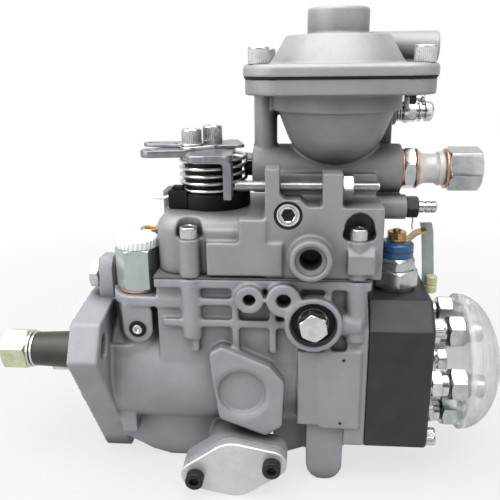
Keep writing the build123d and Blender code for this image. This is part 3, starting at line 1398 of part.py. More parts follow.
def make_lever_screws():
    """Clamp plate and the two socket-head screws that hold the lever to its shaft."""
    base = LEVER_Z + LEVER_T
    seat = base + CLAMP_T
    plate = solid("z", base, seat, hull((CONTROL_X, 0, CLAMP_HUB_R), (CLAMP_X, CLAMP_Y, CLAMP_END_R)))
    plate -= rod("z", base, seat, M6_R, CONTROL_X, 0)
    plate -= rod("z", base, seat, M6_R, CLAMP_X, CLAMP_Y)
    long_screw = cap_screw("z", seat, 1, M6_R, 12, CONTROL_X, 0, head_r=CLAMP_HEAD_R, head_h=10.0)
    short_screw = cap_screw("z", seat, 1, M6_R, 8, CLAMP_X, CLAMP_Y, head_r=CLAMP_HEAD_R, head_h=9.0)
    return group([plate, long_screw, short_screw])


def make_spring_cup():
    """Black cup and core that carry the lever's return spring."""
    cup = tube("z", COVER_LOW_Z, COVER_LOW_Z + CUP_T, CUP_R, CUP_BORE_R, CONTROL_X, 0)
    cup += tube("z", COVER_LOW_Z + CUP_T, LEVER_Z - 3, SLEEVE_CORE_R, CUP_BORE_R, CONTROL_X, 0)
    return cup - block(COVER_X, COVER_X + 9.3, -8, 8, COVER_LOW_Z, LEVER_Z)


def make_lever_springs():
    """Return springs of the control lever and of the stop lever."""
    main = coil("z", COVER_LOW_Z + CUP_T, LEVER_Z, SLEEVE_CORE_R + 2.5, 1.0, 4, CONTROL_X, 0)
    small = coil("x", STOP_BOSS_END_X, STOP_PLATE_X, 5.5, 0.6, 2, STOP_Y, STOP_Z)
    return group([main, small])


def make_adjusting_screws():
    """Speed screw and full-load screw, each with its lock nut."""
    speed = rod("x", TAB_FACE_X + 0.1, 166, SPEED_SCREW_R, SPEED_SCREW_Y, SPEED_SCREW_Z)
    nut_x = REAR_ARM_X[1]
    nut_end = nut_x + LOCK_NUT_T
    speed_nut = hex_bar("x", nut_x, nut_end, LOCK_NUT_AF, SPEED_SCREW_Y, SPEED_SCREW_Z, turn=30)
    speed_nut -= rod("x", nut_x, nut_end, SPEED_SCREW_R, SPEED_SCREW_Y, SPEED_SCREW_Z)
    at = (FULL_LOAD_Y, FULL_LOAD_Z)
    load = rod("x", COVER_END_X - 2, FULL_LOAD_X + 17, M6_R, *at)
    load_end = FULL_LOAD_X + LOAD_NUT_T
    load_nut = hex_bar("x", FULL_LOAD_X, load_end, LOAD_NUT_AF, *at, turn=30)
    load_nut -= rod("x", FULL_LOAD_X, load_end, M6_R, *at)
    return group([speed, speed_nut, load, load_nut])


def make_stop_lever():
    """Stop shaft with its lever plate, a knob above it and a sleeve outside it."""
    end = STOP_PLATE_X + STOP_SHAFT_L
    plate_end = STOP_PLATE_X + STOP_PLATE_T
    knob_z = STOP_Z + STOP_KNOB_RISE
    lever = rod("x", STOP_START_X, end, STOP_R, STOP_Y, STOP_Z)
    lever += solid("x", STOP_PLATE_X, plate_end, hull((STOP_Y, STOP_Z, 7), (STOP_Y, knob_z, 4)))
    lever += rod("x", STOP_PLATE_X, STOP_PLATE_X + STOP_KNOB_L, 4.0, STOP_Y, knob_z)
    lever += rod("x", plate_end, plate_end + 8, STOP_SLEEVE_R, STOP_Y, STOP_Z)
    return lever + rod("x", end - 5.5, end, STOP_SLEEVE_R, STOP_Y, STOP_Z)


# ---------------------------------------------------------------- fittings
def make_inlet_union():
    top = INLET_PAD_Z + SEAL_RING_T + INLET_HEX_H
    union = rod("z", UNION_FOOT_Z, INLET_PAD_Z + SEAL_RING_T, INLET_THREAD_R, INLET_X, INLET_Y)
    union += hex_bar("z", INLET_PAD_Z + SEAL_RING_T, top, INLET_AF, INLET_X, INLET_Y, turn=30)
    return union - rod("z", UNION_FOOT_Z, top, UNION_BORE_R, INLET_X, INLET_Y)


def inlet_cap():
    """Shipping cap with a knurled rim and a plug that fills the union's bore."""
    base = INLET_PAD_Z + SEAL_RING_T + INLET_HEX_H
    points = []
    ribs = 40
    for k in range(2 * ribs):
        angle = math.pi * k / ribs
        radius = INLET_CAP_R - 0.5 * (k % 2)
        points.append((INLET_X + radius * math.cos(angle), INLET_Y + radius * math.sin(angle)))
    cap = solid("z", base, base + INLET_CAP_H - 1, make_face(Polyline(*points, close=True)))
    cap += rod("z", base + INLET_CAP_H - 1, base + INLET_CAP_H, INLET_CAP_R - 1, INLET_X, INLET_Y)
    return cap + rod("z", base - 10, base, UNION_BORE_R, INLET_X, INLET_Y)


def outlet_cap():
    """Domed shipping cap over all the outlets, stepped in rings, with a socket for each neck."""
    steps = 9
    outline = [(CAP_X, 0), (CAP_X, CAP_R)]
    for k in range(steps):
        angle = math.pi / 2 * k / steps
        after = math.pi / 2 * (k + 1) / steps
        radius = CAP_R * math.cos(angle)
        outline.append((CAP_X + CAP_DEPTH * math.sin(after), radius))
        if k < steps - 1:
            outline.append((CAP_X + CAP_DEPTH * math.sin(after), CAP_R * math.cos(after)))
    outline.append((CAP_X + CAP_DEPTH, 0))
    face = Plane.XY * make_face(Polyline(*outline, close=True))
    dome = revolve(face, Axis.X)
    room = CAP_R - 2.5
    dome -= rod("x", CAP_X, CAP_X + 3, room)
    dome -= rod("x", CAP_X + 3, HOLDER_END_X - 1, OUTLET_RING_R + HOLDER_NECK_R - 1.5)
    for y, z in outlet_places():
        dome += rod("x", HOLDER_END_X - 7, HOLDER_END_X, HOLDER_NECK_R + 1.2, y, z)
    for y, z in outlet_places():
        dome -= rod("x", CAP_X, HOLDER_END_X, HOLDER_NECK_R, y, z)
    return dome


def make_caps():
    return group([inlet_cap(), outlet_cap()])


def make_pressure_valve():
    """Pressure-regulating valve: seat, hexagon and a lined end."""
    x, y = VALVE_SEAT_X, VALVE_SEAT_Y
    valve = rod("z", VALVE_FOOT_Z, INLET_PAD_Z, VALVE_SEAT_R, x, y)
    valve += rod("z", INLET_PAD_Z, VALVE_COLLAR_END_Z, VALVE_COLLAR_R, x, y)
    valve += hex_bar("z", VALVE_COLLAR_END_Z, VALVE_HEX_END_Z, VALVE_HEX_AF, x, y)
    valve += rod("z", VALVE_HEX_END_Z, VALVE_END_Z, VALVE_END_R, x, y)
    return valve - rod("z", VALVE_BORE_FLOOR_Z, VALVE_END_Z, VALVE_BORE_R, x, y)


def make_plugs():
    """Hexagon plug on the side boss, and the socket-head plugs around it."""
    at = (SIDE_PLUG_X, SIDE_PLUG_Z)
    side = rod("y", SIDE_BOSS_Y + 0.5, BOSS_HOLE_END_Y - 1, SIDE_PLUG_R, *at)
    washer_y = SIDE_BOSS_Y + SIDE_RECESS - 1
    side += hex_bar("y", SIDE_BOSS_Y - 4, washer_y, SIDE_PLUG_AF, *at, turn=30)
    face = rod("y", COVER_FACE_Y + 1, COVER_FACE_Y + 7, FACE_PLUG_R, FACE_PLUG_X, FACE_PLUG_Z)
    face -= solid("y", COVER_FACE_Y + 1, COVER_FACE_Y + 4, hexagon(6, FACE_PLUG_X, FACE_PLUG_Z))
    pad = cap_screw("y", SOCKET_PLUG_Y, -1, M6_R, SOCKET_PLUG_DEPTH, SOCKET_PLUG_X, SOCKET_PLUG_Z,
                    head_r=4.1, head_h=3.0)
    return group([side, face, pad, make_head_plug()])


def make_washers():
    """Copper sealing washers under the fittings."""
    seal = SEAL_RING_T
    pad = INLET_PAD_Z
    pieces = [tube("z", pad, pad + seal, 11.8, INLET_THREAD_R, INLET_X, INLET_Y)]
    pieces.append(tube("z", HEAD_HALF_Z, HEAD_HALF_Z + seal, 12.0, INLET_THREAD_R,
                       SOLENOID_X, SOLENOID_Y))
    washer_y = SIDE_BOSS_Y + SIDE_RECESS
    pieces.append(tube("y", washer_y - 1, washer_y, SIDE_WASHER_R, SIDE_PLUG_R,
                       SIDE_PLUG_X, SIDE_PLUG_Z))
    for start, end in return_washer_spans():
        pieces.append(tube("x", start, end, 11.5, RETURN_STEM_R, NECK_Y, NECK_Z))
    return group(pieces)


def return_washer_spans():
    first = NECK_END_X
    second = first + SEAL_RING_T + RETURN_HEX_T
    third = second + SEAL_RING_T + RETURN_SLEEVE_L
    return [(first, first + SEAL_RING_T), (second, second + SEAL_RING_T),
            (third, third + SEAL_RING_T)]


def make_return_union():
    """Hexagon ring, sleeve and hexagon cap on one hollow bolt."""
    spans = return_washer_spans()
    at = (NECK_Y, NECK_Z)
    ring = hex_bar("x", spans[0][1], spans[1][0], RETURN_AF, *at, turn=5)
    ring -= rod("x", spans[0][1], spans[1][0], RETURN_STEM_R, *at)
    sleeve = tube("x", spans[1][1], spans[2][0], RETURN_SLEEVE_R, RETURN_STEM_R, *at)
    cap_end = spans[2][1] + RETURN_CAP_L
    cap = hex_bar("x", spans[2][1], cap_end, RETURN_CAP_AF, *at, turn=5)
    cap += rod("x", NECK_END_X - 15, spans[2][1], RETURN_STEM_R, *at)
    cap -= rod("x", NECK_END_X - 15, cap_end - 5, 2.5, *at)
    return group([ring, sleeve, cap])


def make_solenoid():
    base = HEAD_HALF_Z + SEAL_RING_T
    at = (SOLENOID_X, SOLENOID_Y)
    body = rod("z", SOLENOID_FLOOR_Z, base, INLET_THREAD_R, *at)
    body += hex_bar("z", base, base + SOLENOID_HEX_H, SOLENOID_AF, *at)
    top = base + SOLENOID_HEX_H + SOLENOID_BODY_H
    shell = rod("z", base + SOLENOID_HEX_H, top, SOLENOID_BODY_R, *at)
    body += fillet(shell.edges().sort_by(Axis.Z)[-1], 1.5)
    return body - rod("z", SOLENOID_FLOOR_Z, base + 9, 5.0 + RUN, *at)


def make_solenoid_plunger():
    at = (SOLENOID_X, SOLENOID_Y)
    plunger = rod("z", SOLENOID_FLOOR_Z + 0.3, SOLENOID_FLOOR_Z + 18, 5.0, *at)
    return plunger + rod("z", 20, SOLENOID_FLOOR_Z + 0.3, 3.0, *at)


def make_terminal():
    """Blue insulator, brass stud nut and strap, and the strip that carries the lead."""
    at = (SOLENOID_X, SOLENOID_Y)
    base = HEAD_HALF_Z + SEAL_RING_T + SOLENOID_HEX_H + SOLENOID_BODY_H
    insulator = rod("z", base, base + 9, 10.0, *at)
    insulator = fillet(insulator.edges().sort_by(Axis.Z)[-1], 3)
    stud = rod("z", base + 9, base + 16, 2.5, *at)
    strap_z = base + 9
    bend = Polyline((at[0] - 5, strap_z), (at[0] + 7, strap_z), (at[0] + 12, strap_z + 3),
                    (at[0] + 17.6, strap_z + 4), (at[0] + 17.6, strap_z + 5.2),
                    (at[0] + 11.6, strap_z + 4.2), (at[0] + 6.6, strap_z + 1.2),
                    (at[0] - 5, strap_z + 1.2), close=True)
    strap = solid("y", at[1] - 4, at[1] + 11, make_face(bend))
    strap -= block(at[0] - 6, at[0] + 8, at[1] + 4, at[1] + 12, strap_z - 1, strap_z + 6)
    strap -= rod("z", strap_z, strap_z + 1.2, 2.5, *at)
    nut = hex_bar("z", strap_z + 1.2, strap_z + 5.5, 10, *at)
    nut -= rod("z", strap_z + 1.2, strap_z + 5.5, 2.5, *at)
    strip_x = at[0] + 13.5
    strip = block(strip_x, strip_x + 5, 4, 5.5, HEAD_HALF_Z, strap_z + 3)
    return group([insulator, stud, strap, nut, strip])


# ---------------------------------------------------------------- writing the pieces
NODES = {
    "pump_housing": make_housing,
    "drive_bush": make_bush,
    "rubber_seals": make_seals,
    "drive_shaft": make_drive_shaft,
    "drive_nut": make_drive_nut,
    "spring_washer": make_spring_washer,
    "woodruff_key": make_key,
    "feed_pump_ring": make_feed_ring,
    "feed_pump_rotor": make_feed_rotor,
    "feed_pump_vanes": make_feed_vanes,
    "feed_pump_plate": make_feed_plate,
    "drive_gear": make_drive_gear,
    "governor_shaft": make_governor_shaft,
    "flyweight_carrier": make_carrier,
    "governor_sleeve": make_governor_sleeve,
    "governor_lever": make_governor_lever,
    "governor_spring": make_governor_spring,
    "control_spool": make_spool,
    "roller_ring": make_roller_ring,
    "rollers": make_rollers,
    "timing_pin": make_timing_pin,
    "timing_piston": make_timing_piston,
    "timing_spring": make_timing_spring,
    "timing_covers": make_timing_covers,
    "timing_cover_screws": make_timing_screws,
    "cam_plate": make_cam_plate,
    "distributor_plunger": make_plunger,
    "plunger_spring_seat": make_spring_seat,
    "return_springs": make_internal_springs,
    "distributor_head": make_head,
    "distributor_barrel": make_barrel,
    "head_screws": make_head_screws,
    "delivery_holders": make_delivery_holders,
    "delivery_valves": make_delivery_valves,
    "protective_caps": make_caps,
    "governor_cover": make_cover,
    "cover_screws": make_cover_screws,
    "boost_lid": make_boost_lid,
    "boost_diaphragm": make_diaphragm,
    "boost_pin": make_boost_pin,
    "boost_spring": make_boost_spring,
    "control_shaft": make_control_shaft,
    "control_lever": make_control_lever,
    "lever_screws": make_lever_screws,
    "spring_cup": make_spring_cup,
    "lever_springs": make_lever_springs,
    "adjusting_screws": make_adjusting_screws,
    "stop_lever": make_stop_lever,
    "inlet_union": make_inlet_union,
    "pressure_valve": make_pressure_valve,
    "blanking_plugs": make_plugs,
    "sealing_washers": make_washers,
    "return_union": make_return_union,
    "solenoid_body": make_solenoid,
    "solenoid_plunger": make_solenoid_plunger,
    "solenoid_terminal": make_terminal,
}
for weight in range(4):
    NODES[f"flyweight_{weight + 1}"] = lambda number=weight: make_flyweight(number)

os.makedirs("parts", exist_ok=True)
for node, make in NODES.items():
    export_step(make(), f"parts/{node}.step")
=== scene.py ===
"""Finish, light and camera for the diesel injection pump.

Every length in this script is written in millimetres and scaled by MM, because the
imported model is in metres. The frame is the part's own: X along the drive shaft,
Z up, and -Y the side that faces the camera.
"""
import json
from math import cos, pi, radians, sin, sqrt, tau

import bmesh
import bpy
from mathutils import Matrix, Vector


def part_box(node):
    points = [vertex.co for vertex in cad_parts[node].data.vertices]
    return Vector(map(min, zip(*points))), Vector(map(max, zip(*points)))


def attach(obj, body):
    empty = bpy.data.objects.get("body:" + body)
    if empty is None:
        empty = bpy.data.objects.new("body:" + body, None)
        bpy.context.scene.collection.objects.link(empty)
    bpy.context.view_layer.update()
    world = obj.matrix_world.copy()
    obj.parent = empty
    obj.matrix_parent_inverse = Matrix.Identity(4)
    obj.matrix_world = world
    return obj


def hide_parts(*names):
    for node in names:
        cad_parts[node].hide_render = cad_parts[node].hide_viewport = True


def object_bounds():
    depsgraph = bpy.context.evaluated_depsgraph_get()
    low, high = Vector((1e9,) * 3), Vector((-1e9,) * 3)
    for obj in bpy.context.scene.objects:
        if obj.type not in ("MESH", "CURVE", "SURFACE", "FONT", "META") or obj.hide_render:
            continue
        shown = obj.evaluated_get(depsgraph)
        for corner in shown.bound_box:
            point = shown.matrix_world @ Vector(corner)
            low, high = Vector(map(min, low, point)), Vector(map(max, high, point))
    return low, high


MM = 0.001
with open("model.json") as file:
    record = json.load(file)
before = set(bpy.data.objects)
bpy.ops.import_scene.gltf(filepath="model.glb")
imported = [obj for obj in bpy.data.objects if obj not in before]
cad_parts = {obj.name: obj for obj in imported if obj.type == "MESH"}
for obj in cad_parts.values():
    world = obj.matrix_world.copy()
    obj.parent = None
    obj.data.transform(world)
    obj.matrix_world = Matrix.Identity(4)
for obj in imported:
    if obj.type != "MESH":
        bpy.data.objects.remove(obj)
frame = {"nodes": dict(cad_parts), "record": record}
nodes = frame["nodes"]
cad_low, cad_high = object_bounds()
scene = bpy.context.scene


# ---- places
def span(node, axis):
    """Both ends of a node along an axis."""
    k = "xyz".index(axis)
    return [round(corner[k] / MM, 2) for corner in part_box(node)]


def middle(node, axis):
    """Middle of a node across an axis, in x, y, z order."""
    low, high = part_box(node)
    return [round((low[k] + high[k]) / 2 / MM, 1) for k in range(3) if "xyz"[k] != axis]


# Pairs of coordinates across axes along X,
SHAFT = (0.0, 0.0)
OUTLET_R = 30.0
OUTLET_ANGLES = [radians(60 * k) for k in range(6)]
OUTLETS = [(OUTLET_R * cos(angle), OUTLET_R * sin(angle)) for angle in OUTLET_ANGLES]
RETURN = middle("return_union", "x")
SPEED_SCREW = (-30.0, 114.5)
FULL_LOAD = (-5.0, 97.8)
STOP = (37.0, 147.0)
STOP_PIN = (37.0, 154.5)
# along Y,
SIDE_PLUG = (133.0, 42.0)
FACE_PLUG = (119.0, 101.0)
SOCKET_PLUG = (34.0, 33.0)
TIMING = middle("timing_cover_screws", "y")
TIMING_SCREW_R = 22.5
TIMING_LEAN = radians(12)
TIMING_SCREWS = [(TIMING[0] + side * TIMING_SCREW_R * cos(TIMING_LEAN),
                  TIMING[1] + side * TIMING_SCREW_R * sin(TIMING_LEAN)) for side in (-1, 1)]
# and along Z.
INLET = middle("inlet_union", "z")
VALVE = middle("pressure_valve", "z")
SOLENOID = middle("solenoid_body", "z")
CONTROL = (75.0, 0.0)
CLAMP = (64.5, -8.5)

# Ends and seats along those axes.
NUT_START, NUT_END = span("drive_nut", "x")
HEAD_FACE = span("distributor_head", "x")[1]
OUTLET_END = span("delivery_holders", "x")[1]
RETURN_START, RETURN_END = span("return_union", "x")
RETURN_WASHERS = (181.0, 189.0, 205.5)
TIMING_FACE = span("timing_covers", "y")[1]
INLET_FOOT, INLET_TOP = span("inlet_union", "z")
INLET_SEAT = 54.5
VALVE_FOOT, VALVE_TOP = span("pressure_valve", "z")
SOLENOID_FOOT, INSULATOR_FOOT = span("solenoid_body", "z")
SOLENOID_SEAT = 51.5
SOLENOID_SHOULDER = 62.0
TERMINAL = 78.0
STUD_END = span("solenoid_terminal", "z")[1]
LEVER_HIGH = span("control_lever", "z")[1]
LEVER_LOW = LEVER_HIGH - 4.0
UPPER_HIGH = LEVER_HIGH + 2.0
CUP_LOW, CUP_HIGH = span("spring_cup", "z")
WASHER = 1.5
M6_R = 3.0


# ---- shader nodes
MATERIALS = {}
SOFT_EDGE = 0.35
EDGE_SAMPLES = 4
EDGE_COSINES = (0.99, 0.80)
# Reach, samples and shares of the painted shade that darkens recesses.
RECESS_REACH = 14.0
RECESS_SAMPLES = 6
RECESS_SHARES = (0.30, 0.92)


def new_material(name):
    """Material kept in MATERIALS under its name; gives its nodes, its links and its shader."""
    material = bpy.data.materials.new(name)
    material.use_nodes = True
    MATERIALS[name] = material
    tree = material.node_tree
    return tree.nodes, tree.links, tree.nodes["Principled BSDF"]


def set_inputs(node, values):
    """Constant inputs of a node, by name or number."""
    for socket, value in values.items():
        node.inputs[socket].default_value = value


def add(made, kind, values=None, operation=None):
    """New shader node of a kind, with its constant inputs and its operation."""
    node = made.new("ShaderNode" + kind)
    if operation:
        node.operation = operation
    set_inputs(node, values or {})
    return node


def noise(made, links, coords, size, detail=3.0, roughness=0.55):
    texture = add(made, "TexNoise", {"Scale": 1.0 / (size * MM), "Detail": detail, "Roughness": roughness})
    links.new(coords, texture.inputs["Vector"])
    return texture.outputs["Fac"]


def remap(made, links, value, low, high, out_low=0.0, out_high=1.0):
    ends = {"From Min": low, "From Max": high, "To Min": out_low, "To Max": out_high}
    ramp = add(made, "MapRange", ends)
    links.new(value, ramp.inputs["Value"])
    return ramp.outputs["Result"]


def mix_colour(made, links, factor, first, second):
    """Mix two colours, each a tuple or an output socket."""
    mix = add(made, "Mix")
    mix.data_type = "RGBA"
    links.new(factor, mix.inputs["Factor"])
    for socket, colour in ((mix.inputs["A"], first), (mix.inputs["B"], second)):
        if isinstance(colour, tuple):
            socket.default_value = (*colour, 1.0)
        else:
            links.new(colour, socket)
    return mix.outputs["Result"]


def edge_mask(made, links):
    """One along edges and near zero on flat faces, with the node that rounds the edges."""
    bevel = add(made, "Bevel", {"Radius": SOFT_EDGE * MM})
    bevel.samples = EDGE_SAMPLES
    geometry = add(made, "NewGeometry")
    cosine = add(made, "VectorMath", operation="DOT_PRODUCT")
    links.new(bevel.outputs["Normal"], cosine.inputs[0])
    links.new(geometry.outputs["Normal"], cosine.inputs[1])
    return remap(made, links, cosine.outputs["Value"], *EDGE_COSINES), bevel


def recess_mask(made, links):
    """Mask for the painted shade in recesses, from ambient occlusion: one in the open and near zero deep in
    pockets and corners.
    """
    hidden = add(made, "AmbientOcclusion", {"Distance": RECESS_REACH * MM})
    hidden.samples = RECESS_SAMPLES
    return remap(made, links, hidden.outputs["AO"], *RECESS_SHARES)


def seen_by(made, links, *rays):
    """One for either kind of ray, with the node that tells rays apart."""
    path = add(made, "LightPath")
    either = add(made, "Math", operation="MAXIMUM")
    for ray, socket in zip(rays, either.inputs):
        links.new(path.outputs[ray], socket)
    return either.outputs["Value"], path


def add_relief(made, links, shader, height, strength, depth):
    """Bump on a shader from the height, as deep as given."""
    relief = add(made, "Bump", {"Strength": strength, "Distance": depth * MM})
    links.new(height, relief.inputs["Height"])
    links.new(relief.outputs["Normal"], shader.inputs["Normal"])
    return relief


def grey(level):
    return (level, level, level)


def shade(colour, share):
    return tuple(share * c for c in colour)


# ---- kinds of surface
def surface(name, colour, patch, metallic, rough, grain, depth, patch_size=14.0, worn=None,
            relief=0.6, speck=0.35, painted_shade=0.0, specular=0.5, coat=0.0, uneven=1.0):
    """Two-tone surface with fine grain in its bump, uneven gloss, soft and worn edges, and painted shade in
    recesses.
    """
    made, links, shader = new_material(name)
    coords = add(made, "TexCoord").outputs["Object"]
    blotch = noise(made, links, coords, patch_size, 4.0)
    fine = noise(made, links, coords, grain, 3.0, 0.6)
    tone = mix_colour(made, links, remap(made, links, blotch, 0.35, 0.65), colour, patch)
    specks = remap(made, links, fine, 0.3, 0.75, 0.0, speck)
    tone = mix_colour(made, links, specks, tone, shade(patch, 0.72))
    edges, bevel = edge_mask(made, links)
    if worn:
        tone = mix_colour(made, links, remap(made, links, edges, 0.0, 1.0, 0.0, 0.7), tone, worn)
    # Painted shade: the patch colour, darkened, deep in pockets and corners.
    if painted_shade:
        tone = mix_colour(made, links, recess_mask(made, links), shade(patch, 1.0 - painted_shade), tone)
    links.new(tone, shader.inputs["Base Color"])
    gloss = remap(made, links, fine, 0.3, 0.7, rough - 0.06 * uneven, rough + 0.08 * uneven)
    links.new(gloss, shader.inputs["Roughness"])
    set_inputs(shader, {"Metallic": metallic, "Coat Weight": coat, "Specular IOR Level": specular})
    bump = add_relief(made, links, shader, fine, relief, depth)
    links.new(bevel.outputs["Normal"], bump.inputs["Normal"])


def cast(name, colour, patch, rough, worn):
    """Cast aluminium: painted shade in the pockets, and pale along the edges."""
    surface(name, colour, patch, 0.20, rough, 0.5, 0.10, worn=worn, painted_shade=0.80)


def metal(name, colour, patch, rough, worn=None, patch_size=5.0, metallic=0.95):
    """Plated or ground metal: clean facets with a faint grain."""
    surface(name, colour, patch, metallic, rough, 1.6, 0.01, patch_size, worn,
            relief=0.10, speck=0.04, uneven=0.12)


def ringed_plastic(name, colour, pitch):
    """Milky plastic with fine turned rings about the shaft's axis."""
    made, links, shader = new_material(name)
    coords = add(made, "TexCoord").outputs["Object"]
    across = add(made, "VectorMath", {1: (0.0, 1.0, 1.0)}, "MULTIPLY")
    links.new(coords, across.inputs[0])
    radius = add(made, "VectorMath", operation="LENGTH")
    links.new(across.outputs["Vector"], radius.inputs[0])
    phase = add(made, "Math", {1: tau / (pitch * MM)}, "MULTIPLY")
    links.new(radius.outputs["Value"], phase.inputs[0])
    wave = add(made, "Math", operation="SINE")
    links.new(phase.outputs["Value"], wave.inputs[0])
    tone = mix_colour(made, links, noise(made, links, coords, 9.0), colour, shade(colour, 0.9))
    rings = remap(made, links, wave.outputs["Value"], -1.0, 1.0, 0.0, 0.45)
    tone = mix_colour(made, links, rings, tone, shade(colour, 0.68))
    links.new(tone, shader.inputs["Base Color"])
    set_inputs(shader, {"Roughness": 0.25, "IOR": 1.12, "Transmission Weight": 0.80})
    add_relief(made, links, shader, wave.outputs["Value"], 0.5, 0.25)


# ---- materials
# Each has a colour and a second one for its patches, then how rough it is. In surface() the
# share of metal comes before the roughness, and the size and depth of the grain come after it.
cast("housing_casting", (0.300, 0.304, 0.325), (0.262, 0.265, 0.285), 0.52, (0.40, 0.40, 0.42))
cast("cover_casting", (0.275, 0.272, 0.280), (0.236, 0.233, 0.240), 0.50, (0.38, 0.375, 0.38))
cast("lid_casting", (0.330, 0.328, 0.332), (0.285, 0.283, 0.287), 0.44, grey(0.46))
surface("black_head", (0.026, 0.026, 0.027), (0.017, 0.017, 0.018), 0.0, 0.48, 0.8, 0.06,
        worn=(0.080, 0.070, 0.065), specular=0.4)
metal("zinc_plate", (0.50, 0.52, 0.52), (0.40, 0.425, 0.43), 0.20, grey(0.72))
metal("inlet_zinc", (0.44, 0.49, 0.49), (0.39, 0.44, 0.445), 0.26, (0.62, 0.64, 0.64), 9.0, 0.90)
metal("yellow_zinc", (0.62, 0.63, 0.44), (0.50, 0.52, 0.34), 0.26, (0.78, 0.78, 0.64), metallic=0.85)
surface("black_screws", (0.010, 0.010, 0.011), (0.006, 0.006, 0.007), 0.0, 0.36, 0.5, 0.03, 4.0,
        worn=grey(0.05), relief=0.25, specular=0.35)
metal("bright_screws", (0.62, 0.62, 0.615), grey(0.50), 0.17, grey(0.80))
surface("phosphated_steel", (0.026, 0.025, 0.016), (0.018, 0.017, 0.011), 0.0, 0.40, 0.6, 0.03, 7.0,
        worn=(0.08, 0.076, 0.055), relief=0.3)
metal("lever_zinc", (0.24, 0.25, 0.27), (0.18, 0.19, 0.205), 0.30, (0.60, 0.60, 0.61), metallic=0.75)
metal("ground_steel", grey(0.60), grey(0.52), 0.25)
surface("sintered_iron", (0.16, 0.16, 0.165), (0.11, 0.11, 0.115), 0.7, 0.5, 0.4, 0.05, 6.0)
metal("spring_steel", (0.66, 0.66, 0.65), grey(0.54), 0.20)
metal("copper", (0.52, 0.33, 0.24), (0.38, 0.22, 0.15), 0.30, (0.80, 0.66, 0.55), 4.0)
metal("bronze", (0.52, 0.36, 0.16), (0.42, 0.28, 0.12), 0.35)
metal("brass", (0.46, 0.31, 0.13), (0.24, 0.145, 0.06), 0.24, (0.80, 0.66, 0.40), 3.0)
surface("amber_lining", (0.80, 0.50, 0.12), (0.68, 0.40, 0.08), 0.3, 0.3, 0.8, 0.01, relief=0.1)
surface("seal_rubber", grey(0.012), grey(0.008), 0.0, 0.62, 0.4, 0.03, specular=0.2)
surface("gasket", (0.105, 0.105, 0.108), (0.080, 0.080, 0.083), 0.0, 0.6, 0.4, 0.03)
surface("white_plastic", (0.80, 0.81, 0.80), (0.74, 0.75, 0.74), 0.0, 0.38, 1.2, 0.02, 8.0,
        relief=0.2)
surface("sleeve_plastic", (0.60, 0.60, 0.585), (0.53, 0.53, 0.52), 0.1, 0.30, 1.2, 0.01, 8.0,
        relief=0.15)
surface("blue_plastic", (0.010, 0.085, 0.210), (0.006, 0.055, 0.145), 0.0, 0.28, 0.8, 0.01, 5.0,
        relief=0.15, coat=0.3)
surface("black_plastic", (0.005, 0.005, 0.007), (0.003, 0.003, 0.004), 0.0, 0.50, 0.6, 0.03,
        relief=0.25, specular=0.15)
surface("timing_plate", (0.62, 0.62, 0.63), (0.53, 0.53, 0.54), 0.55, 0.34, 1.2, 0.02, 10.0,
        worn=(0.80, 0.80, 0.81), relief=0.2)
surface("painted_strip", (0.36, 0.43, 0.41), (0.27, 0.34, 0.32), 0.1, 0.35, 0.7, 0.03)
surface("yellow_plastic", (0.62, 0.62, 0.36), (0.54, 0.54, 0.30), 0.0, 0.36, 0.8, 0.02)
ringed_plastic("dome_plastic", (0.93, 0.95, 0.94), 2.6)


def paint(piece, name):
    piece.data.materials.clear()
    piece.data.materials.append(MATERIALS[name])


# ---- mesh tools
# The direction of each axis, and the two directions that span its angle.
AXES = {"x": (Vector((1, 0, 0)), Vector((0, 1, 0)), Vector((0, 0, 1))),
        "y": (Vector((0, 1, 0)), Vector((0, 0, 1)), Vector((1, 0, 0))),
        "z": (Vector((0, 0, 1)), Vector((1, 0, 0)), Vector((0, 1, 0)))}


def soften(mesh, angle_deg):
    """Smooth shading that keeps the edges sharper than the angle."""
    made = bmesh.new()
    made.from_mesh(mesh)
    limit = radians(angle_deg)
    for edge in made.edges:
        edge.smooth = len(edge.link_faces) != 2 or edge.calc_face_angle(0.0) < limit
    for face in made.faces:
        face.smooth = True
    made.to_mesh(mesh)
    made.free()


def placed(name, data):
    """New object in the scene."""
    placed_object = bpy.data.objects.new(name, data)
    scene.collection.objects.link(placed_object)
    return placed_object


def mesh_of(form):
    """Final mesh of an object that is only there to give it."""
    graph = bpy.context.evaluated_depsgraph_get()
    mesh = bpy.data.meshes.new_from_object(form.evaluated_get(graph))
    bpy.data.objects.remove(form)
    return mesh


def finish_piece(mesh, name, body, slot, replaced=None):
    """Piece with its material that rides a body, in place of a node where it replaces one."""
    piece = placed(name, mesh)
    paint(piece, slot)
    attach(piece, body)
    if replaced:
        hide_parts(replaced)


def built(name, slot, make, replaced=None, angle=30.0, body="pump"):
    """Runs make(bm) in a fresh mesh and turns the result into a finished piece."""
    bm = bmesh.new()
    make(bm)
    bmesh.ops.recalc_face_normals(bm, faces=bm.faces)
    mesh = bpy.data.meshes.new(name)
    bm.to_mesh(mesh)
    bm.free()
    soften(mesh, angle)
    finish_piece(mesh, name, body, slot, replaced)


def origin_of(axis, at):
    """Point on the axis line at its zero, from its pair of coordinates."""
    a, b = at
    return {"x": Vector((0, a, b)), "y": Vector((a, 0, b)), "z": Vector((a, b, 0))}[axis]


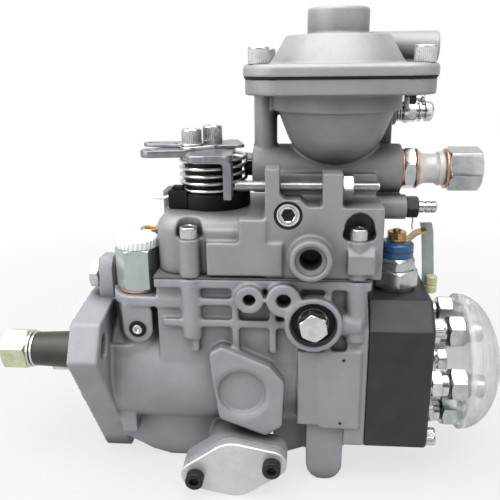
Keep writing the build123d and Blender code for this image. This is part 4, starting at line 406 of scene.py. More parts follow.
def turned(bm, axis, at, rows, around=48, turn=0.0):
    """Skin through rings about an axis.

    A row is (place along the axis, radius), and a radius may be a function of the angle.
    """
    along, first, second = AXES[axis]
    centre = origin_of(axis, at)
    rings = []
    for place, radius in rows:
        if radius == 0:
            rings.append([bm.verts.new((centre + along * place) * MM)])
            continue
        ring = []
        for k in range(around):
            angle = tau * k / around
            reach = radius(angle) if callable(radius) else radius
            angle += radians(turn)
            spoke = first * cos(angle) + second * sin(angle)
            ring.append(bm.verts.new((centre + along * place + spoke * reach) * MM))
        rings.append(ring)
    for lower, upper in zip(rings, rings[1:]):
        if len(lower) == 1 and len(upper) == 1:
            continue
        for k in range(around):
            n = (k + 1) % around
            if len(lower) == 1:
                bm.faces.new((lower[0], upper[n], upper[k]))
            elif len(upper) == 1:
                bm.faces.new((lower[k], lower[n], upper[0]))
            else:
                bm.faces.new((lower[k], lower[n], upper[n], upper[k]))


def skin(bm, rings):
    """Faces between neighbouring rings, and one over each end."""
    count = len(rings[0])
    for lower, upper in zip(rings, rings[1:]):
        for k in range(count):
            n = (k + 1) % count
            bm.faces.new((lower[k], lower[n], upper[n], upper[k]))
    bm.faces.new(rings[0][::-1])
    bm.faces.new(rings[-1])


def hexagonal(across_flats, limit=None):
    """Radius of a hexagon as a function of the angle, no larger than the limit."""
    def radius(angle):
        sector = (angle + pi / 6) % (pi / 3) - pi / 6
        flat = across_flats / 2 / cos(sector)
        return flat if limit is None else min(flat, limit)
    return radius


def knurled(radius, teeth, depth=0.25):
    """Radius of a knurled or ribbed rim as a function of the angle."""
    def at(angle):
        return radius - depth * (0.5 + 0.5 * cos(teeth * angle))
    return at


def hex_rows(start, end, across_flats, bore=0.0):
    """Rows of a hexagon nut or head whose corners are chamfered at both ends."""
    corner = across_flats / sqrt(3)
    flat = across_flats / 2
    face_r = flat * 0.97
    least_r = flat * 0.99
    depth = (corner - flat) * 0.62
    sign = 1 if end > start else -1
    steps = 4
    low_rows = []
    high_rows = []
    for k in range(steps + 1):
        part = k / steps
        radius = hexagonal(across_flats, least_r + (corner - flat) * part)
        low_rows.append((start + sign * depth * part, radius))
        high_rows.append((end - sign * depth * part, radius))
    return [(start, bore), (start, face_r)] + low_rows + high_rows[::-1] + [(end, face_r), (end, bore)]


def rounded(start, reach, radius, drop, steps):
    """Rows of a quarter round that runs on by reach while its radius falls by drop."""
    rows = []
    for k in range(1, steps + 1):
        angle = pi / 2 * k / steps
        rows.append((start + reach * sin(angle), radius - drop * (1 - cos(angle))))
    return rows


def shank(bm, axis, at, start, end, radius):
    turned(bm, axis, at, [(start, 0), (start, radius), (end, radius), (end, 0)], 24)


def soft_ring(bm, axis, at, start, end, outer, inner, edge=0.35):
    """Washer with rounded rims."""
    near = 0.3 * edge
    rows = [(start, inner), (start, outer - edge), (start + near, outer - near), (start + edge, outer),
            (end - edge, outer), (end - near, outer - near), (end, outer - edge), (end, inner)]
    turned(bm, axis, at, rows, 64)


def socket_screw(bm, axis, at, seat, tip, head_r, head_h, socket=5.0, knurls=36):
    """Socket screw of M6: knurled side, rounded rim, hexagonal socket and a plain shank."""
    sign = 1 if seat > tip else -1
    top = seat + sign * head_h
    rim = 0.12 * head_r
    deep = 0.55 * head_h
    rows = [(seat, 0), (seat, head_r - 0.3), (seat + sign * 0.3, knurled(head_r, knurls)),
            (top - sign * (rim + 0.8), knurled(head_r, knurls)), (top - sign * (rim + 0.5), head_r),
            (top - sign * rim, head_r)]
    rows += rounded(top - sign * rim, sign * rim, head_r, rim, 3)
    rows += [(top, socket * 0.62), (top - sign * 0.35, hexagonal(socket)),
             (top - sign * deep, hexagonal(socket)), (top - sign * (deep + 0.8), 0)]
    turned(bm, axis, at, rows, 4 * knurls)
    shank(bm, axis, at, seat, tip, M6_R)


def thread_mesh(bm, axis, at, start, end, radius, pitch, around=28):
    """Rod with a real helical thread, its ends chamfered."""
    along, first, second = AXES[axis]
    centre = origin_of(axis, at)
    low, high = min(start, end), max(start, end)
    sign = 1 if end > start else -1
    root_and_crest = ((0.0, -0.55 * pitch), (0.5, 0.0))
    rings = []
    steps = int((high - low) / pitch * around)
    for k in range(steps + 1):
        angle = tau * k / around
        spoke = first * cos(angle) + second * sin(angle)
        row = []
        for offset, sink in root_and_crest:
            place = start + sign * (k / around + offset - 0.5) * pitch
            place = min(max(place, low), high)
            fade = min(abs(place - start), abs(end - place)) / pitch
            reach = radius + sink - 0.5 * pitch * max(0.0, 1.0 - fade)
            row.append(bm.verts.new((centre + along * place + spoke * reach) * MM))
        rings.append(row)
    for k in range(steps):
        here, after = rings[k], rings[k + 1]
        bm.faces.new((here[0], after[0], after[1], here[1]))
        if k + around < steps:
            above, above_after = rings[k + around], rings[k + around + 1]
            bm.faces.new((here[1], after[1], above_after[0], above[0]))
    core = radius - 0.56 * pitch - 0.3
    turned(bm, axis, at, [(start, 0), (start, core), (end, core), (end, 0)], around)


def wire(bm, points, radius, around=12):
    """Round wire along a smooth list of points."""
    rings = []
    last = len(points) - 1
    guide = Vector((0.31, 0.52, 0.79))
    for k, point in enumerate(points):
        ahead = (points[min(k + 1, last)] - points[max(k - 1, 0)]).normalized()
        side = (guide - ahead * guide.dot(ahead)).normalized()
        up = ahead.cross(side)
        guide = side
        ring = []
        for j in range(around):
            angle = tau * j / around
            offset = side * cos(angle) * radius + up * sin(angle) * radius
            ring.append(bm.verts.new((point + offset) * MM))
        rings.append(ring)
    skin(bm, rings)


def helix(axis, at, start, end, radius, turns, closed_ends):
    """Points of a coil; closed_ends is the share of a turn at each end that lies flat."""
    along, first, second = AXES[axis]
    centre = origin_of(axis, at)
    steps = 40
    points = []
    for k in range(int(turns * steps) + 1):
        turn = k / steps
        rise = min(max((turn - closed_ends) / (turns - 2 * closed_ends), 0.0), 1.0)
        spoke = first * cos(tau * turn) + second * sin(tau * turn)
        points.append(centre + along * (start + (end - start) * rise) + spoke * radius)
    return points


def plate(bm, axis, start, end, outline, edge=0.4):
    """Flat plate with a closed outline in the other two coordinates and a small chamfer all round."""
    along = AXES[axis][0]
    count = len(outline)
    middle = Vector((sum(p[0] for p in outline) / count, sum(p[1] for p in outline) / count))

    def ring(place, inset):
        made = []
        for k in range(count):
            here = Vector(outline[k])
            ahead = (Vector(outline[(k + 1) % count]) - Vector(outline[k - 1])).normalized()
            normal = Vector((ahead.y, -ahead.x))
            if normal.dot(here - middle) < 0:
                normal.negate()
            made.append(bm.verts.new((origin_of(axis, here - normal * inset) + along * place) * MM))
        return made

    skin(bm, [ring(start, edge), ring(start + edge, 0), ring(end - edge, 0), ring(end, edge)])


def bent_strip(bm, path, side, half, thick):
    """Strip of sheet bent along a path of points; side is the direction of its width."""
    rings = []
    last = len(path) - 1
    for k, point in enumerate(path):
        ahead = (path[min(k + 1, last)] - path[max(k - 1, 0)]).normalized()
        up = ahead.cross(side).normalized() * thick / 2
        corners = (side * half + up, up - side * half, -up - side * half, side * half - up)
        rings.append([bm.verts.new((point + corner) * MM) for corner in corners])
    skin(bm, rings)


def hull_outline(circles, steps=40):
    """Outline of the convex hull of circles given as (a, b, radius)."""
    points = []
    for a, b, radius in circles:
        for k in range(steps):
            angle = tau * k / steps
            points.append((a + radius * cos(angle), b + radius * sin(angle)))
    points.sort()

    def half(sequence):
        chain = []
        for p in sequence:
            while len(chain) > 1:
                (x0, y0), (x1, y1) = chain[-2], chain[-1]
                if (x1 - x0) * (p[1] - y0) - (y1 - y0) * (p[0] - x0) > 1e-9:
                    break
                chain.pop()
            chain.append(p)
        return chain[:-1]

    return half(points) + half(points[::-1])


def holed_plate(name, low, high, outline, holes, edge=0.35):
    """Level plate of the control lever with round holes, from a filled curve."""
    curve = bpy.data.curves.new(name, "CURVE")
    curve.dimensions = "2D"
    curve.fill_mode = "BOTH"
    curve.extrude = ((high - low) / 2 - edge) * MM
    curve.bevel_depth = edge * MM
    curve.bevel_resolution = 2
    curve.offset = -edge * MM
    rings = [outline]
    for x, y, radius in holes:
        angles = [tau * k / 28 for k in range(28)]
        rings.append([(x + radius * cos(angle), y + radius * sin(angle)) for angle in angles])
    for ring in rings:
        spline = curve.splines.new("POLY")
        spline.points.add(len(ring) - 1)
        for point, (x, y) in zip(spline.points, ring):
            point.co = (x * MM, y * MM, 0.0, 1.0)
        spline.use_cyclic_u = True
    mesh = mesh_of(placed(name, curve))
    mesh.transform(Matrix.Translation((0, 0, (low + high) / 2 * MM)))
    soften(mesh, 30.0)
    finish_piece(mesh, name, "control", "lever_zinc")


# ---- castings
def soft_casting(node, slot, voxel, rounds):
    """Copy of a cast node with every sharp edge rounded, as sand and dies leave it."""
    copy = nodes[node].copy()
    copy.data = copy.data.copy()
    copy.name = node + "_cast"
    scene.collection.objects.link(copy)
    remesh = copy.modifiers.new("remesh", "REMESH")
    remesh.mode = "VOXEL"
    remesh.voxel_size = voxel * MM
    smooth = copy.modifiers.new("smooth", "SMOOTH")
    smooth.factor = 0.5
    smooth.iterations = rounds
    thin = copy.modifiers.new("thin", "DECIMATE")
    thin.decimate_type = "COLLAPSE"
    thin.ratio = 0.4
    mesh = mesh_of(copy)
    for face in mesh.polygons:
        face.use_smooth = True
    finish_piece(mesh, node + "_cast", "pump", slot, node)


soft_casting("pump_housing", "housing_casting", 0.9, 2)
soft_casting("governor_cover", "cover_casting", 0.8, 2)
soft_casting("boost_lid", "lid_casting", 0.7, 2)
soft_casting("distributor_head", "black_head", 0.8, 3)


# ---- fasteners
def cover_screws(bm):
    """Screws of the cover's foot and of its lid."""
    for x in (66.0, 156.0):
        for y in (-37.0, 37.0):
            socket_screw(bm, "z", (x, y), 87.5, 51.5, 4.8, 6.5)
    for x in (104.0, 184.0):
        for y in (-34.0, 34.0):
            socket_screw(bm, "z", (x, y), 176.0, 162.0, 5.3, 8.0)


def head_screws(bm):
    for y in (-30.0, 30.0):
        for z in (-35.0, 35.0):
            socket_screw(bm, "x", (y, z), HEAD_FACE, 153.0, 5.2, 6.0)


def timing_screws(bm):
    for side in (-1, 1):
        for at in TIMING_SCREWS:
            socket_screw(bm, "y", at, side * TIMING_FACE, side * 40.0, 5.2, 6.0)


def drive_nut(bm):
    turned(bm, "x", SHAFT, hex_rows(NUT_START, NUT_END, 24.0, 8.0), 96, 8)


def drive_washers(bm):
    """Bright plain washer and spring washer between the nut and the gear's seat."""
    for start, outer in ((NUT_END, 12.0), (NUT_END + 2.2, 11.4)):
        end = start + 1.8
        rows = [(start, 8.2), (start, outer - 0.4), (start + 0.3, outer), (end - 0.3, outer),
                (end, outer - 0.4), (end, 8.2)]
        turned(bm, "x", SHAFT, rows, 64)


built("cover_screws_detail", "bright_screws", cover_screws, "cover_screws", 32.0)
built("head_screws_detail", "bright_screws", head_screws, "head_screws", 32.0)
built("timing_screws_detail", "black_screws", timing_screws, "timing_cover_screws", 32.0)
built("drive_nut_detail", "yellow_zinc", drive_nut, "drive_nut", 25.0, body="drive")
built("drive_washers", "bright_screws", drive_washers, "spring_washer", 25.0, body="drive")


# ---- outlets
def delivery_holders(bm):
    """Each has a foot in the head, a hexagon, a shoulder and a long end with a bore."""
    foot = [(186.5, 3.6), (186.5, 7.0), (200.3, 7.0)]
    end = [(206.3, 6.9), (209.6, 6.9), (210.4, 6.2), (211.0, 5.0), (OUTLET_END - 0.6, 5.0),
           (OUTLET_END, 4.4), (OUTLET_END, 1.5), (210.0, 1.5)]
    for at in OUTLETS:
        turned(bm, "x", at, foot, 32)
        turned(bm, "x", at, hex_rows(200.3, 206.3, 14.0, 5.0), 72)
        turned(bm, "x", at, end, 32)


def union_nuts(bm):
    """Hexagon nuts that end in a cone."""
    rows = hex_rows(211.0, 220.0, 17.0, 5.0)[:-2]
    rows += [(220.0, 8.0), (221.2, 7.4), (222.5, 6.5), (222.5, 5.0)]
    for at in OUTLETS:
        turned(bm, "x", at, rows, 72)


built("delivery_holders_detail", "bright_screws", delivery_holders, "delivery_holders", 25.0)
built("union_nuts_detail", "zinc_plate", union_nuts, angle=25.0)

DOME_START = 221.0
DOME_DEPTH = span("protective_caps", "x")[1] - DOME_START
DOME_R = 41.0
DOME_SKIRT = 3.0
DOME_WALL = 2.5
DOME_RINGS = 22


def dome_cap(bm):
    """Milky dome with stepped rings outside, a skirt and a stub over each outlet."""
    rim = DOME_R - DOME_WALL
    rows = [(DOME_START + DOME_SKIRT, 0), (DOME_START + DOME_SKIRT, rim), (DOME_START, rim),
            (DOME_START, DOME_R - 0.3), (DOME_START + 0.3, DOME_R)]
    for k in range(DOME_RINGS):
        angle = pi / 2 * (k + 0.35) / DOME_RINGS
        after = pi / 2 * (k + 1.0) / DOME_RINGS
        place = DOME_START + DOME_DEPTH * sin(after)
        rows.append((DOME_START + DOME_DEPTH * sin(angle), DOME_R * cos(angle)))
        rows.append((place - 0.25, DOME_R * cos(angle) - 0.15))
        if k < DOME_RINGS - 1:
            rows.append((place, DOME_R * cos(after)))
    rows.append((DOME_START + DOME_DEPTH - 0.1, 0))
    turned(bm, "x", SHAFT, rows, 128)
    for at in OUTLETS:
        turned(bm, "x", at, [(223.0, 5.1), (223.0, 6.2), (229.0, 6.2), (229.0, 0)], 32)


def inlet_cap(bm):
    """White cap with a ribbed skirt and a shallow dished top, on a plain stem."""
    ribs = knurled(12.3, 30, 0.75)
    rows = [(INLET_TOP, 6.0), (INLET_TOP, 11.8), (78.8, ribs), (82.4, ribs), (82.9, knurled(12.1, 30, 0.35)),
            (83.3, 11.6), (83.8, 11.1), (84.0, 10.4), (83.8, 9.6), (83.6, 0)]
    turned(bm, "z", INLET, rows, 180)
    turned(bm, "z", INLET, [(INLET_TOP - 10.0, 0), (INLET_TOP - 10.0, 6.0), (INLET_TOP, 6.0)], 32)


built("outlet_cap_detail", "dome_plastic", dome_cap, "protective_caps", 40.0)
built("inlet_cap_detail", "white_plastic", inlet_cap, angle=40.0)


# ---- inlet and valve
def inlet_union(bm):
    turned(bm, "z", INLET, hex_rows(INLET_SEAT, INLET_TOP, 23.0, 6.0), 96, 38)
    turned(bm, "z", INLET, [(INLET_FOOT, 6.0), (INLET_FOOT, 8.0), (INLET_SEAT, 8.0)], 32)


def pressure_valve(bm):
    """Foot, hexagon and a round body with a groove and an open mouth."""
    turned(bm, "z", VALVE, [(VALVE_FOOT, 0), (VALVE_FOOT, 6.0), (53, 6.0), (53, 7.5), (56, 7.5)], 32)
    turned(bm, "z", VALVE, hex_rows(56.0, 66.0, 17.0, 4.0), 72)
    body = [(66, 6.0), (66.4, 6.4), (71.0, 6.4), (71.3, 5.8), (72.2, 5.8), (72.5, 6.4), (77.5, 6.4),
            (VALVE_TOP, 6.0), (VALVE_TOP, 5.2), (77.6, 4.9), (60, 4.9), (60, 0)]
    turned(bm, "z", VALVE, body, 48)


def valve_lining(bm):
    rows = [(61.0, 4.9), (77.0, 4.9), (77.5, 4.6), (77.5, 3.9), (61.5, 3.6), (61.5, 0), (61.0, 0)]
    turned(bm, "z", VALVE, rows, 40)


def guard_stack(bm):
    """Small bolt with a stack of plain rings, behind the fuel inlet."""
    bolt_r = 2.6
    rows = [(53.0, 0), (53.0, bolt_r)]
    for k in range(5):
        low = 58.0 + 3.4 * k
        high = low + 2.4
        rows += [(low, bolt_r), (low, 3.6), (low + 0.4, 4.0), (high - 0.4, 4.0), (high, 3.6), (high, bolt_r)]
    rows += [(76.0, bolt_r), (76.0, 0)]
    turned(bm, "z", (42.0, 11.0), rows, 40)


built("inlet_union_detail", "inlet_zinc", inlet_union, "inlet_union", 25.0)
built("pressure_valve_detail", "zinc_plate", pressure_valve, "pressure_valve", 28.0)
built("valve_lining", "amber_lining", valve_lining)
built("guard_stack", "bright_screws", guard_stack)


# ---- plugs
def side_plug(bm):
    turned(bm, "y", SIDE_PLUG, [(-38, 0), (-38, 8.0), (-42.5, 8.0)], 32)
    turned(bm, "y", SIDE_PLUG, hex_rows(-43.0, -51.0, 14.0), 72, 20)


def centre_plug(bm):
    """Plug in the middle of the outlets, with a small hexagon on its large one."""
    turned(bm, "x", SHAFT, [(194.0, 0), (194.0, 15.0), (HEAD_FACE, 15.0)], 48)
    turned(bm, "x", SHAFT, hex_rows(HEAD_FACE, 208.0, 19.0), 72)
    turned(bm, "x", SHAFT, [(208.0, 6.5), (209.5, 6.5), (210.0, 6.0)], 32)
    turned(bm, "x", SHAFT, hex_rows(210.0, 215.5, 12.0), 72)


def plugs(bm):
    side_plug(bm)
    socket_screw(bm, "y", SOCKET_PLUG, -36.2, -31.2, 2.8, 1.6, 2.6, 24)
    centre_plug(bm)


def face_plug(bm):
    """Socket plug flush in the cover's face, with a bright rim round a turned groove."""
    rows = [(-33.0, 0), (-33.0, 6.3), (-39.3, 6.3), (-39.8, 5.9), (-39.8, 5.2), (-38.9, 4.9), (-38.9, 4.5),
            (-39.6, 4.2), (-39.6, 3.7), (-39.3, hexagonal(6.4)), (-38.2, hexagonal(6.2))]
    turned(bm, "y", FACE_PLUG, rows, 72)


def dark_rings(bm):
    """Black rings round the plugs of the near side, and a black disc of painted shade at the bottom of a
    socket.
    """
    socket_shade_disc = [(-36.0, 0), (-36.0, 3.8), (-38.6, 3.8), (-38.6, 0)]
    face_ring = [(-38.6, 6.3), (-39.9, 6.3), (-40.1, 6.7), (-40.1, 7.4), (-39.9, 7.7), (-38.6, 7.7)]
    socket_ring = [(-36.0, 2.9), (-36.9, 2.9), (-37.1, 3.2), (-37.1, 4.5), (-36.9, 4.8), (-36.0, 4.8)]
    side_ring = [(-41.9, 8.6), (-42.5, 8.6), (-42.8, 9.2), (-42.8, 11.4), (-42.5, 12.2), (-41.9, 12.2)]
    # Painted shade: a black disc at the bottom of the face plug's socket.
    turned(bm, "y", FACE_PLUG, socket_shade_disc, 36)
    turned(bm, "y", FACE_PLUG, face_ring, 64)
    turned(bm, "y", SOCKET_PLUG, socket_ring, 48)
    turned(bm, "y", SIDE_PLUG, side_ring, 64)


def plate_rivets(bm):
    """Two small black rivets on the bare name-plate pad."""
    for at in ((150.2, 19.4), (149.3, -20.6)):
        turned(bm, "y", at, [(-41.0, 0), (-41.0, 0.9), (-42.1, 0.9), (-42.25, 0.6), (-42.3, 0)], 24)


def far_boss(bm):
    """Cast boss above the flange that holds a plug."""
    outline = [(-20.0, 45.0), (-4.0, 45.0), (-4.0, 64.0), (-7.0, 69.0), (-15.0, 69.0), (-20.0, 63.0)]
    plate(bm, "x", 7.5, 17.8, outline, 1.6)


def far_plug(bm):
    turned(bm, "x", (-12.0, 57.0), hex_rows(2.2, 7.5, 15.0), 72, 10)


built("plugs_detail", "bright_screws", plugs, "blanking_plugs", 25.0)
built("face_plug", "bright_screws", face_plug, angle=25.0)
built("dark_rings", "seal_rubber", dark_rings)
built("plate_rivets", "black_screws", plate_rivets)
built("far_boss", "housing_casting", far_boss, angle=40.0)
built("far_plug", "bright_screws", far_plug, angle=25.0)


# ---- washers and return union
def washers(bm):
    """Copper washers of the fuel inlet and of the return union."""
    soft_ring(bm, "z", INLET, INLET_SEAT - WASHER, INLET_SEAT, 11.8, 8.0)
    for start in RETURN_WASHERS:
        soft_ring(bm, "x", RETURN, start, start + WASHER, 11.3, 6.0, 0.5)


def dark_washers(bm):
    """Grey washers under the solenoid and round the side plug."""
    soft_ring(bm, "z", SOLENOID, SOLENOID_SEAT - WASHER, SOLENOID_SEAT, 11.6, 8.0)
    soft_ring(bm, "y", SIDE_PLUG, -43.0, -42.0, 8.6, 8.0, 0.2)


def return_union(bm):
    """Hexagon against the cover, and the head and shank of the bolt that holds the sleeve."""
    foot, middle, end = RETURN_WASHERS
    turned(bm, "x", RETURN, hex_rows(foot + WASHER, middle, 21.0, 6.0), 96, 10)
    turned(bm, "x", RETURN, hex_rows(end + WASHER, RETURN_END, 22.0), 96, -20)
    shank(bm, "x", RETURN, end + WASHER, RETURN_START, 6.0)


def return_sleeve(bm):
    """Smooth pale sleeve that flares towards both washers."""
    start = RETURN_WASHERS[1] + WASHER
    end = RETURN_WASHERS[2]
    rows = [(start, 6.0), (start, 9.6), (start + 0.4, 10.0)]
    for k in range(9):
        part = k / 8
        rows.append((start + 0.9 + 4.2 * part, 8.3 + 1.7 * (1 - part) ** 2))
    rows += [(199.8, 8.3), (200.6, 8.5), (201.6, 9.2), (202.0, 9.6), (204.6, 9.6), (205.2, 9.3), (end, 8.9),
             (end, 6.0)]
    turned(bm, "x", RETURN, rows, 64)


built("washers_detail", "copper", washers, "sealing_washers")
built("dark_washers", "gasket", dark_washers)
built("return_union_detail", "zinc_plate", return_union, "return_union", 25.0)
built("return_sleeve", "sleeve_plastic", return_sleeve, angle=40.0)


# ---- solenoid
def solenoid(bm):
    """Foot, large hexagon and a smaller one with rounded corners."""
    turned(bm, "z", SOLENOID, [(SOLENOID_FOOT, 0), (SOLENOID_FOOT, 8.0), (SOLENOID_SEAT, 8.0)], 32)
    turned(bm, "z", SOLENOID, hex_rows(SOLENOID_SEAT, SOLENOID_SHOULDER, 24.0), 96, 4)
    upper = hexagonal(20.6, 11.3)
    rows = [(SOLENOID_SHOULDER, 10.2), (62.4, upper), (67.4, upper), (68.3, hexagonal(20.0, 10.7)),
            (INSULATOR_FOOT, 9.9), (INSULATOR_FOOT, 0)]
    turned(bm, "z", SOLENOID, rows, 96, 4)


def insulator(bm):
    """Blue cap with a groove and a rounded shoulder."""
    rows = [(INSULATOR_FOOT, 0), (INSULATOR_FOOT, 9.6), (69.4, 10.0), (72.0, 10.0), (72.3, 9.5), (73.0, 9.5),
            (73.3, 10.0), (75.4, 10.0)]
    rows += rounded(75.4, TERMINAL - 75.4, 10.0, 3.4, 6)
    rows += [(TERMINAL, 4.5), (77.6, 4.2), (77.6, 0)]
    turned(bm, "z", SOLENOID, rows, 64)


def terminal_stud(bm):
    """Threaded stud with its nut and a washer."""
    thread_mesh(bm, "z", SOLENOID, TERMINAL, STUD_END, 2.5, 0.8)
    turned(bm, "z", SOLENOID, hex_rows(79.2, 83.5, 10.0, 2.4), 72)
    turned(bm, "z", SOLENOID, [(78.2, 2.4), (78.2, 5.4), (79.2, 5.4), (79.2, 2.4)], 40)


def terminal_strap(bm):
    """Brass tag that runs from under the nut towards the strip."""
    x, y = SOLENOID
    reach = ((-5, 1, 78.1), (5, 1, 78.1), (7.5, 2, 78.8), (11, 4, 81.2), (13.5, 5, 82.0), (17.6, 6, 82.4))
    path = [Vector((x + dx, y + dy, z)) for dx, dy, z in reach]
    bent_strip(bm, path, Vector((0, 1, 0)), 4.2, 1.1)


def terminal_strip(bm):
    """Painted strip that stands up from the outlet tag."""
    bends = ((202.2, 47.0), (201.6, 58.0), (200.6, 70.0), (199.6, 81.0), (198.4, 86.0))
    bent_strip(bm, [Vector((x, 5.0, z)) for x, z in bends], Vector((1, 0, 0)), 3.4, 1.2)


def outlet_tag(bm):
    """Small pale yellow plug at the foot of the strip."""
    rows = [(44.0, 0), (44.0, 3.0), (44.4, 3.3), (48.0, 3.3), (48.2, 2.9), (49.0, 2.9), (49.2, 3.3),
            (53.6, 3.3), (54.2, 2.8), (54.4, 0)]
    turned(bm, "z", (203.6, 2.0), rows, 40)


built("solenoid_detail", "zinc_plate", solenoid, "solenoid_body", 25.0)
built("terminal_insulator", "blue_plastic", insulator, "solenoid_terminal")
built("terminal_stud", "brass", terminal_stud, angle=25.0)
built("terminal_strap", "brass", terminal_strap)
built("terminal_strip", "painted_strip", terminal_strip)
built("outlet_tag", "yellow_plastic", outlet_tag)


# ---- timing covers
def timing_covers(bm):
    """Round plate with two ears on each side of the housing."""
    outline = hull_outline([(*TIMING, 17.5)] + [(*at, 8.5) for at in TIMING_SCREWS])
    for low, high in ((-TIMING_FACE, 5.0 - TIMING_FACE), (TIMING_FACE - 5.0, TIMING_FACE)):
        plate(bm, "y", low, high, outline, 0.6)


built("timing_covers_detail", "timing_plate", timing_covers, "timing_covers")

# ---- control lever
TAB_Y = -30.5
TAB_X = 87.1
ARM_END = (42.0, -12.0)
UPPER_ARM_END = (40.0, 2.5)


def lever(bm):
    """Wing of the lever, with a tab bent down in front of the speed screw."""
    outline = hull_outline([(*CONTROL, 12.0), (84.3, TAB_Y, 5.2), (70.0, TAB_Y, 5.2)])
    plate(bm, "z", LEVER_LOW + 0.1, LEVER_HIGH - 0.1, outline, 0.5)
    bend = 4.0
    start = TAB_X - bend
    middle_z = (LEVER_LOW + LEVER_HIGH) / 2
    path = [Vector((TAB_X - 12, TAB_Y, middle_z)), Vector((start, TAB_Y, middle_z))]
    for k in range(1, 6):
        angle = pi / 2 * k / 5
        path.append(Vector((start + bend * sin(angle), TAB_Y, middle_z - bend + bend * cos(angle))))
    path.append(Vector((TAB_X, TAB_Y, 108.0)))
    bent_strip(bm, path, Vector((0, 1, 0)), 5.5, 4.0)


def rear_wing(bm):
    """Wing of the upper plate on the side of the cover's arms."""
    outline = hull_outline([(*CONTROL, 8.0), (89.5, -4.0, 4.0), (85.0, 13.0, 4.0)])
    plate(bm, "z", 131.2, UPPER_HIGH - 0.1, outline, 0.3)


def lever_pins(bm):
    """Pin under the arm, and the washer under the clamp screw's head."""
    shank(bm, "z", (69.5, -12.0), 127.2, 123.6, 1.5)
    low = UPPER_HIGH
    high = low + 1.2
    rows = [(low, 0), (low, 6.4), (low + 0.2, 6.7), (high - 0.2, 6.7), (high, 6.4), (high, 0)]
    turned(bm, "z", CLAMP, rows, 40)


def lever_screws(bm):
    """Screws of the shaft and the clamp, on the plate that joins them."""
    plate(bm, "z", LEVER_HIGH, 132.8, hull_outline([(*CONTROL, 8.5), (*CLAMP, 7.0)]), 0.3)
    socket_screw(bm, "z", CONTROL, UPPER_HIGH, 121.0, 5.6, 10.0)
    socket_screw(bm, "z", CLAMP, UPPER_HIGH, 125.0, 5.6, 9.0)


built("control_lever_detail", "lever_zinc", lever, "control_lever", body="control")
holed_plate("lever_arm", LEVER_LOW, LEVER_HIGH,
            hull_outline([(*CONTROL, 13.0), (*ARM_END, 6.0)]), [(*ARM_END, 3.0)], 0.5)
holed_plate("upper_lever", LEVER_HIGH + 0.1, UPPER_HIGH,
            hull_outline([(*CONTROL, 9.0), (*UPPER_ARM_END, 5.5)]),
            [(*UPPER_ARM_END, 2.6), (55.0, -1.0, 1.9)])
built("rear_wing", "lever_zinc", rear_wing, body="control")
built("lever_pins", "bright_screws", lever_pins, body="control")
built("lever_screws_detail", "bright_screws", lever_screws, "lever_screws", body="control")


# ---- springs of the levers
def spring_cup(bm):
    """Black cup that holds the return spring round its neck."""
    rows = [(CUP_LOW, 9.2), (CUP_LOW, 20.7), (98.3, 21.0), (105.6, 21.0), (106.4, 20.6), (107.0, 19.8),
            (107.0, 17.3), (107.4, 16.5), (123.0, 16.5), (123.7, 16.2), (CUP_HIGH, 15.6), (CUP_HIGH, 9.2),
            (CUP_LOW, 9.2)]
    turned(bm, "z", CONTROL, rows, 96)


def lever_springs(bm):
    """Return springs of the control lever and of the stop lever."""
    wire(bm, helix("z", CONTROL, 108.0, 125.6, 18.8, 5.5, 0.6), 1.0)
    wire(bm, helix("x", STOP, 182.7, 185.3, 5.5, 2.2, 0.3), 0.6)


def cup_lug(bm):
    """Catch of the black cup for the free end of the spring."""
    plate(bm, "z", 98.2, 108.5, [(51.0, -15.0), (62.0, -17.0), (62.0, 2.0), (51.0, 2.0)], 0.6)
    plate(bm, "z", 104.0, 110.5, [(53.0, -13.0), (59.0, -14.0), (59.0, -8.0), (53.0, -8.0)], 0.5)


def spring_tail(bm):
    """Free end of the return spring, bent out of the black cup towards the drive end."""
    bends = ((62.0, -13.0, 106.6), (57.0, -13.5, 106.0), (52.0, -13.5, 105.2), (48.5, -13.0, 104.0),
             (45.5, -12.5, 103.6), (43.0, -12.0, 103.9))
    wire(bm, [Vector(bend) for bend in bends], 0.9)


def idle_nut(bm):
    """Nut of the idle stop at the drive end."""
    turned(bm, "x", (4.0, 126.6), hex_rows(93.4, 98.5, 8.0), 72, 15)


def idle_button(bm):
    """Black button on the cover's face, under the idle nut."""
    turned(bm, "x", RETURN, [(92.6, 0), (92.6, 3.6), (93.2, 4.2), (98.5, 4.2), (98.5, 0)], 40)


built("spring_cup_detail", "black_plastic", spring_cup, "spring_cup")
built("lever_springs_detail", "spring_steel", lever_springs, "lever_springs", 40.0)
built("cup_lug", "black_plastic", cup_lug)
built("spring_tail", "spring_steel", spring_tail, angle=40.0)
built("idle_nut", "bright_screws", idle_nut, angle=25.0)
built("idle_button", "black_plastic", idle_button)


# ---- adjusting screws
def adjusting_screws(bm):
    """Speed screw with its nut, and the full-load screw with a grooved end."""
    start, end = span("adjusting_screws", "x")
    thread_mesh(bm, "x", SPEED_SCREW, start, 166.0, 3.0, 1.0)
    turned(bm, "x", SPEED_SCREW, hex_rows(147.0, 152.5, 12.0, 2.6), 72, 30)
    rows = [(166.5, 0), (166.5, 3.0), (191.0, 3.0), (191.4, 3.3), (194.0, 3.3), (194.3, 2.8), (195.0, 2.8),
            (195.3, 3.3), (197.6, 3.3), (197.9, 2.9), (198.3, 2.9), (198.6, 3.3), (200.7, 3.3), (201.4, 2.5),
            (end, 0)]
    turned(bm, "x", FULL_LOAD, rows, 40)


def full_load_nut(bm):
    turned(bm, "x", FULL_LOAD, hex_rows(184.5, 191.0, 11.0, 2.9), 72, 30)


def seal_wire(bm):
    """Short lead-seal wire under the full-load nut."""
    bends = ((188.0, -7.0, 93.4), (188.4, -8.0, 90.5), (188.0, -8.4, 87.8), (188.6, -8.2, 85.4))
    wire(bm, [Vector(bend) for bend in bends], 0.45)


built("adjusting_screws_detail", "zinc_plate", adjusting_screws, "adjusting_screws")
built("full_load_nut", "black_screws", full_load_nut, angle=25.0)
built("seal_wire", "spring_steel", seal_wire, angle=40.0)


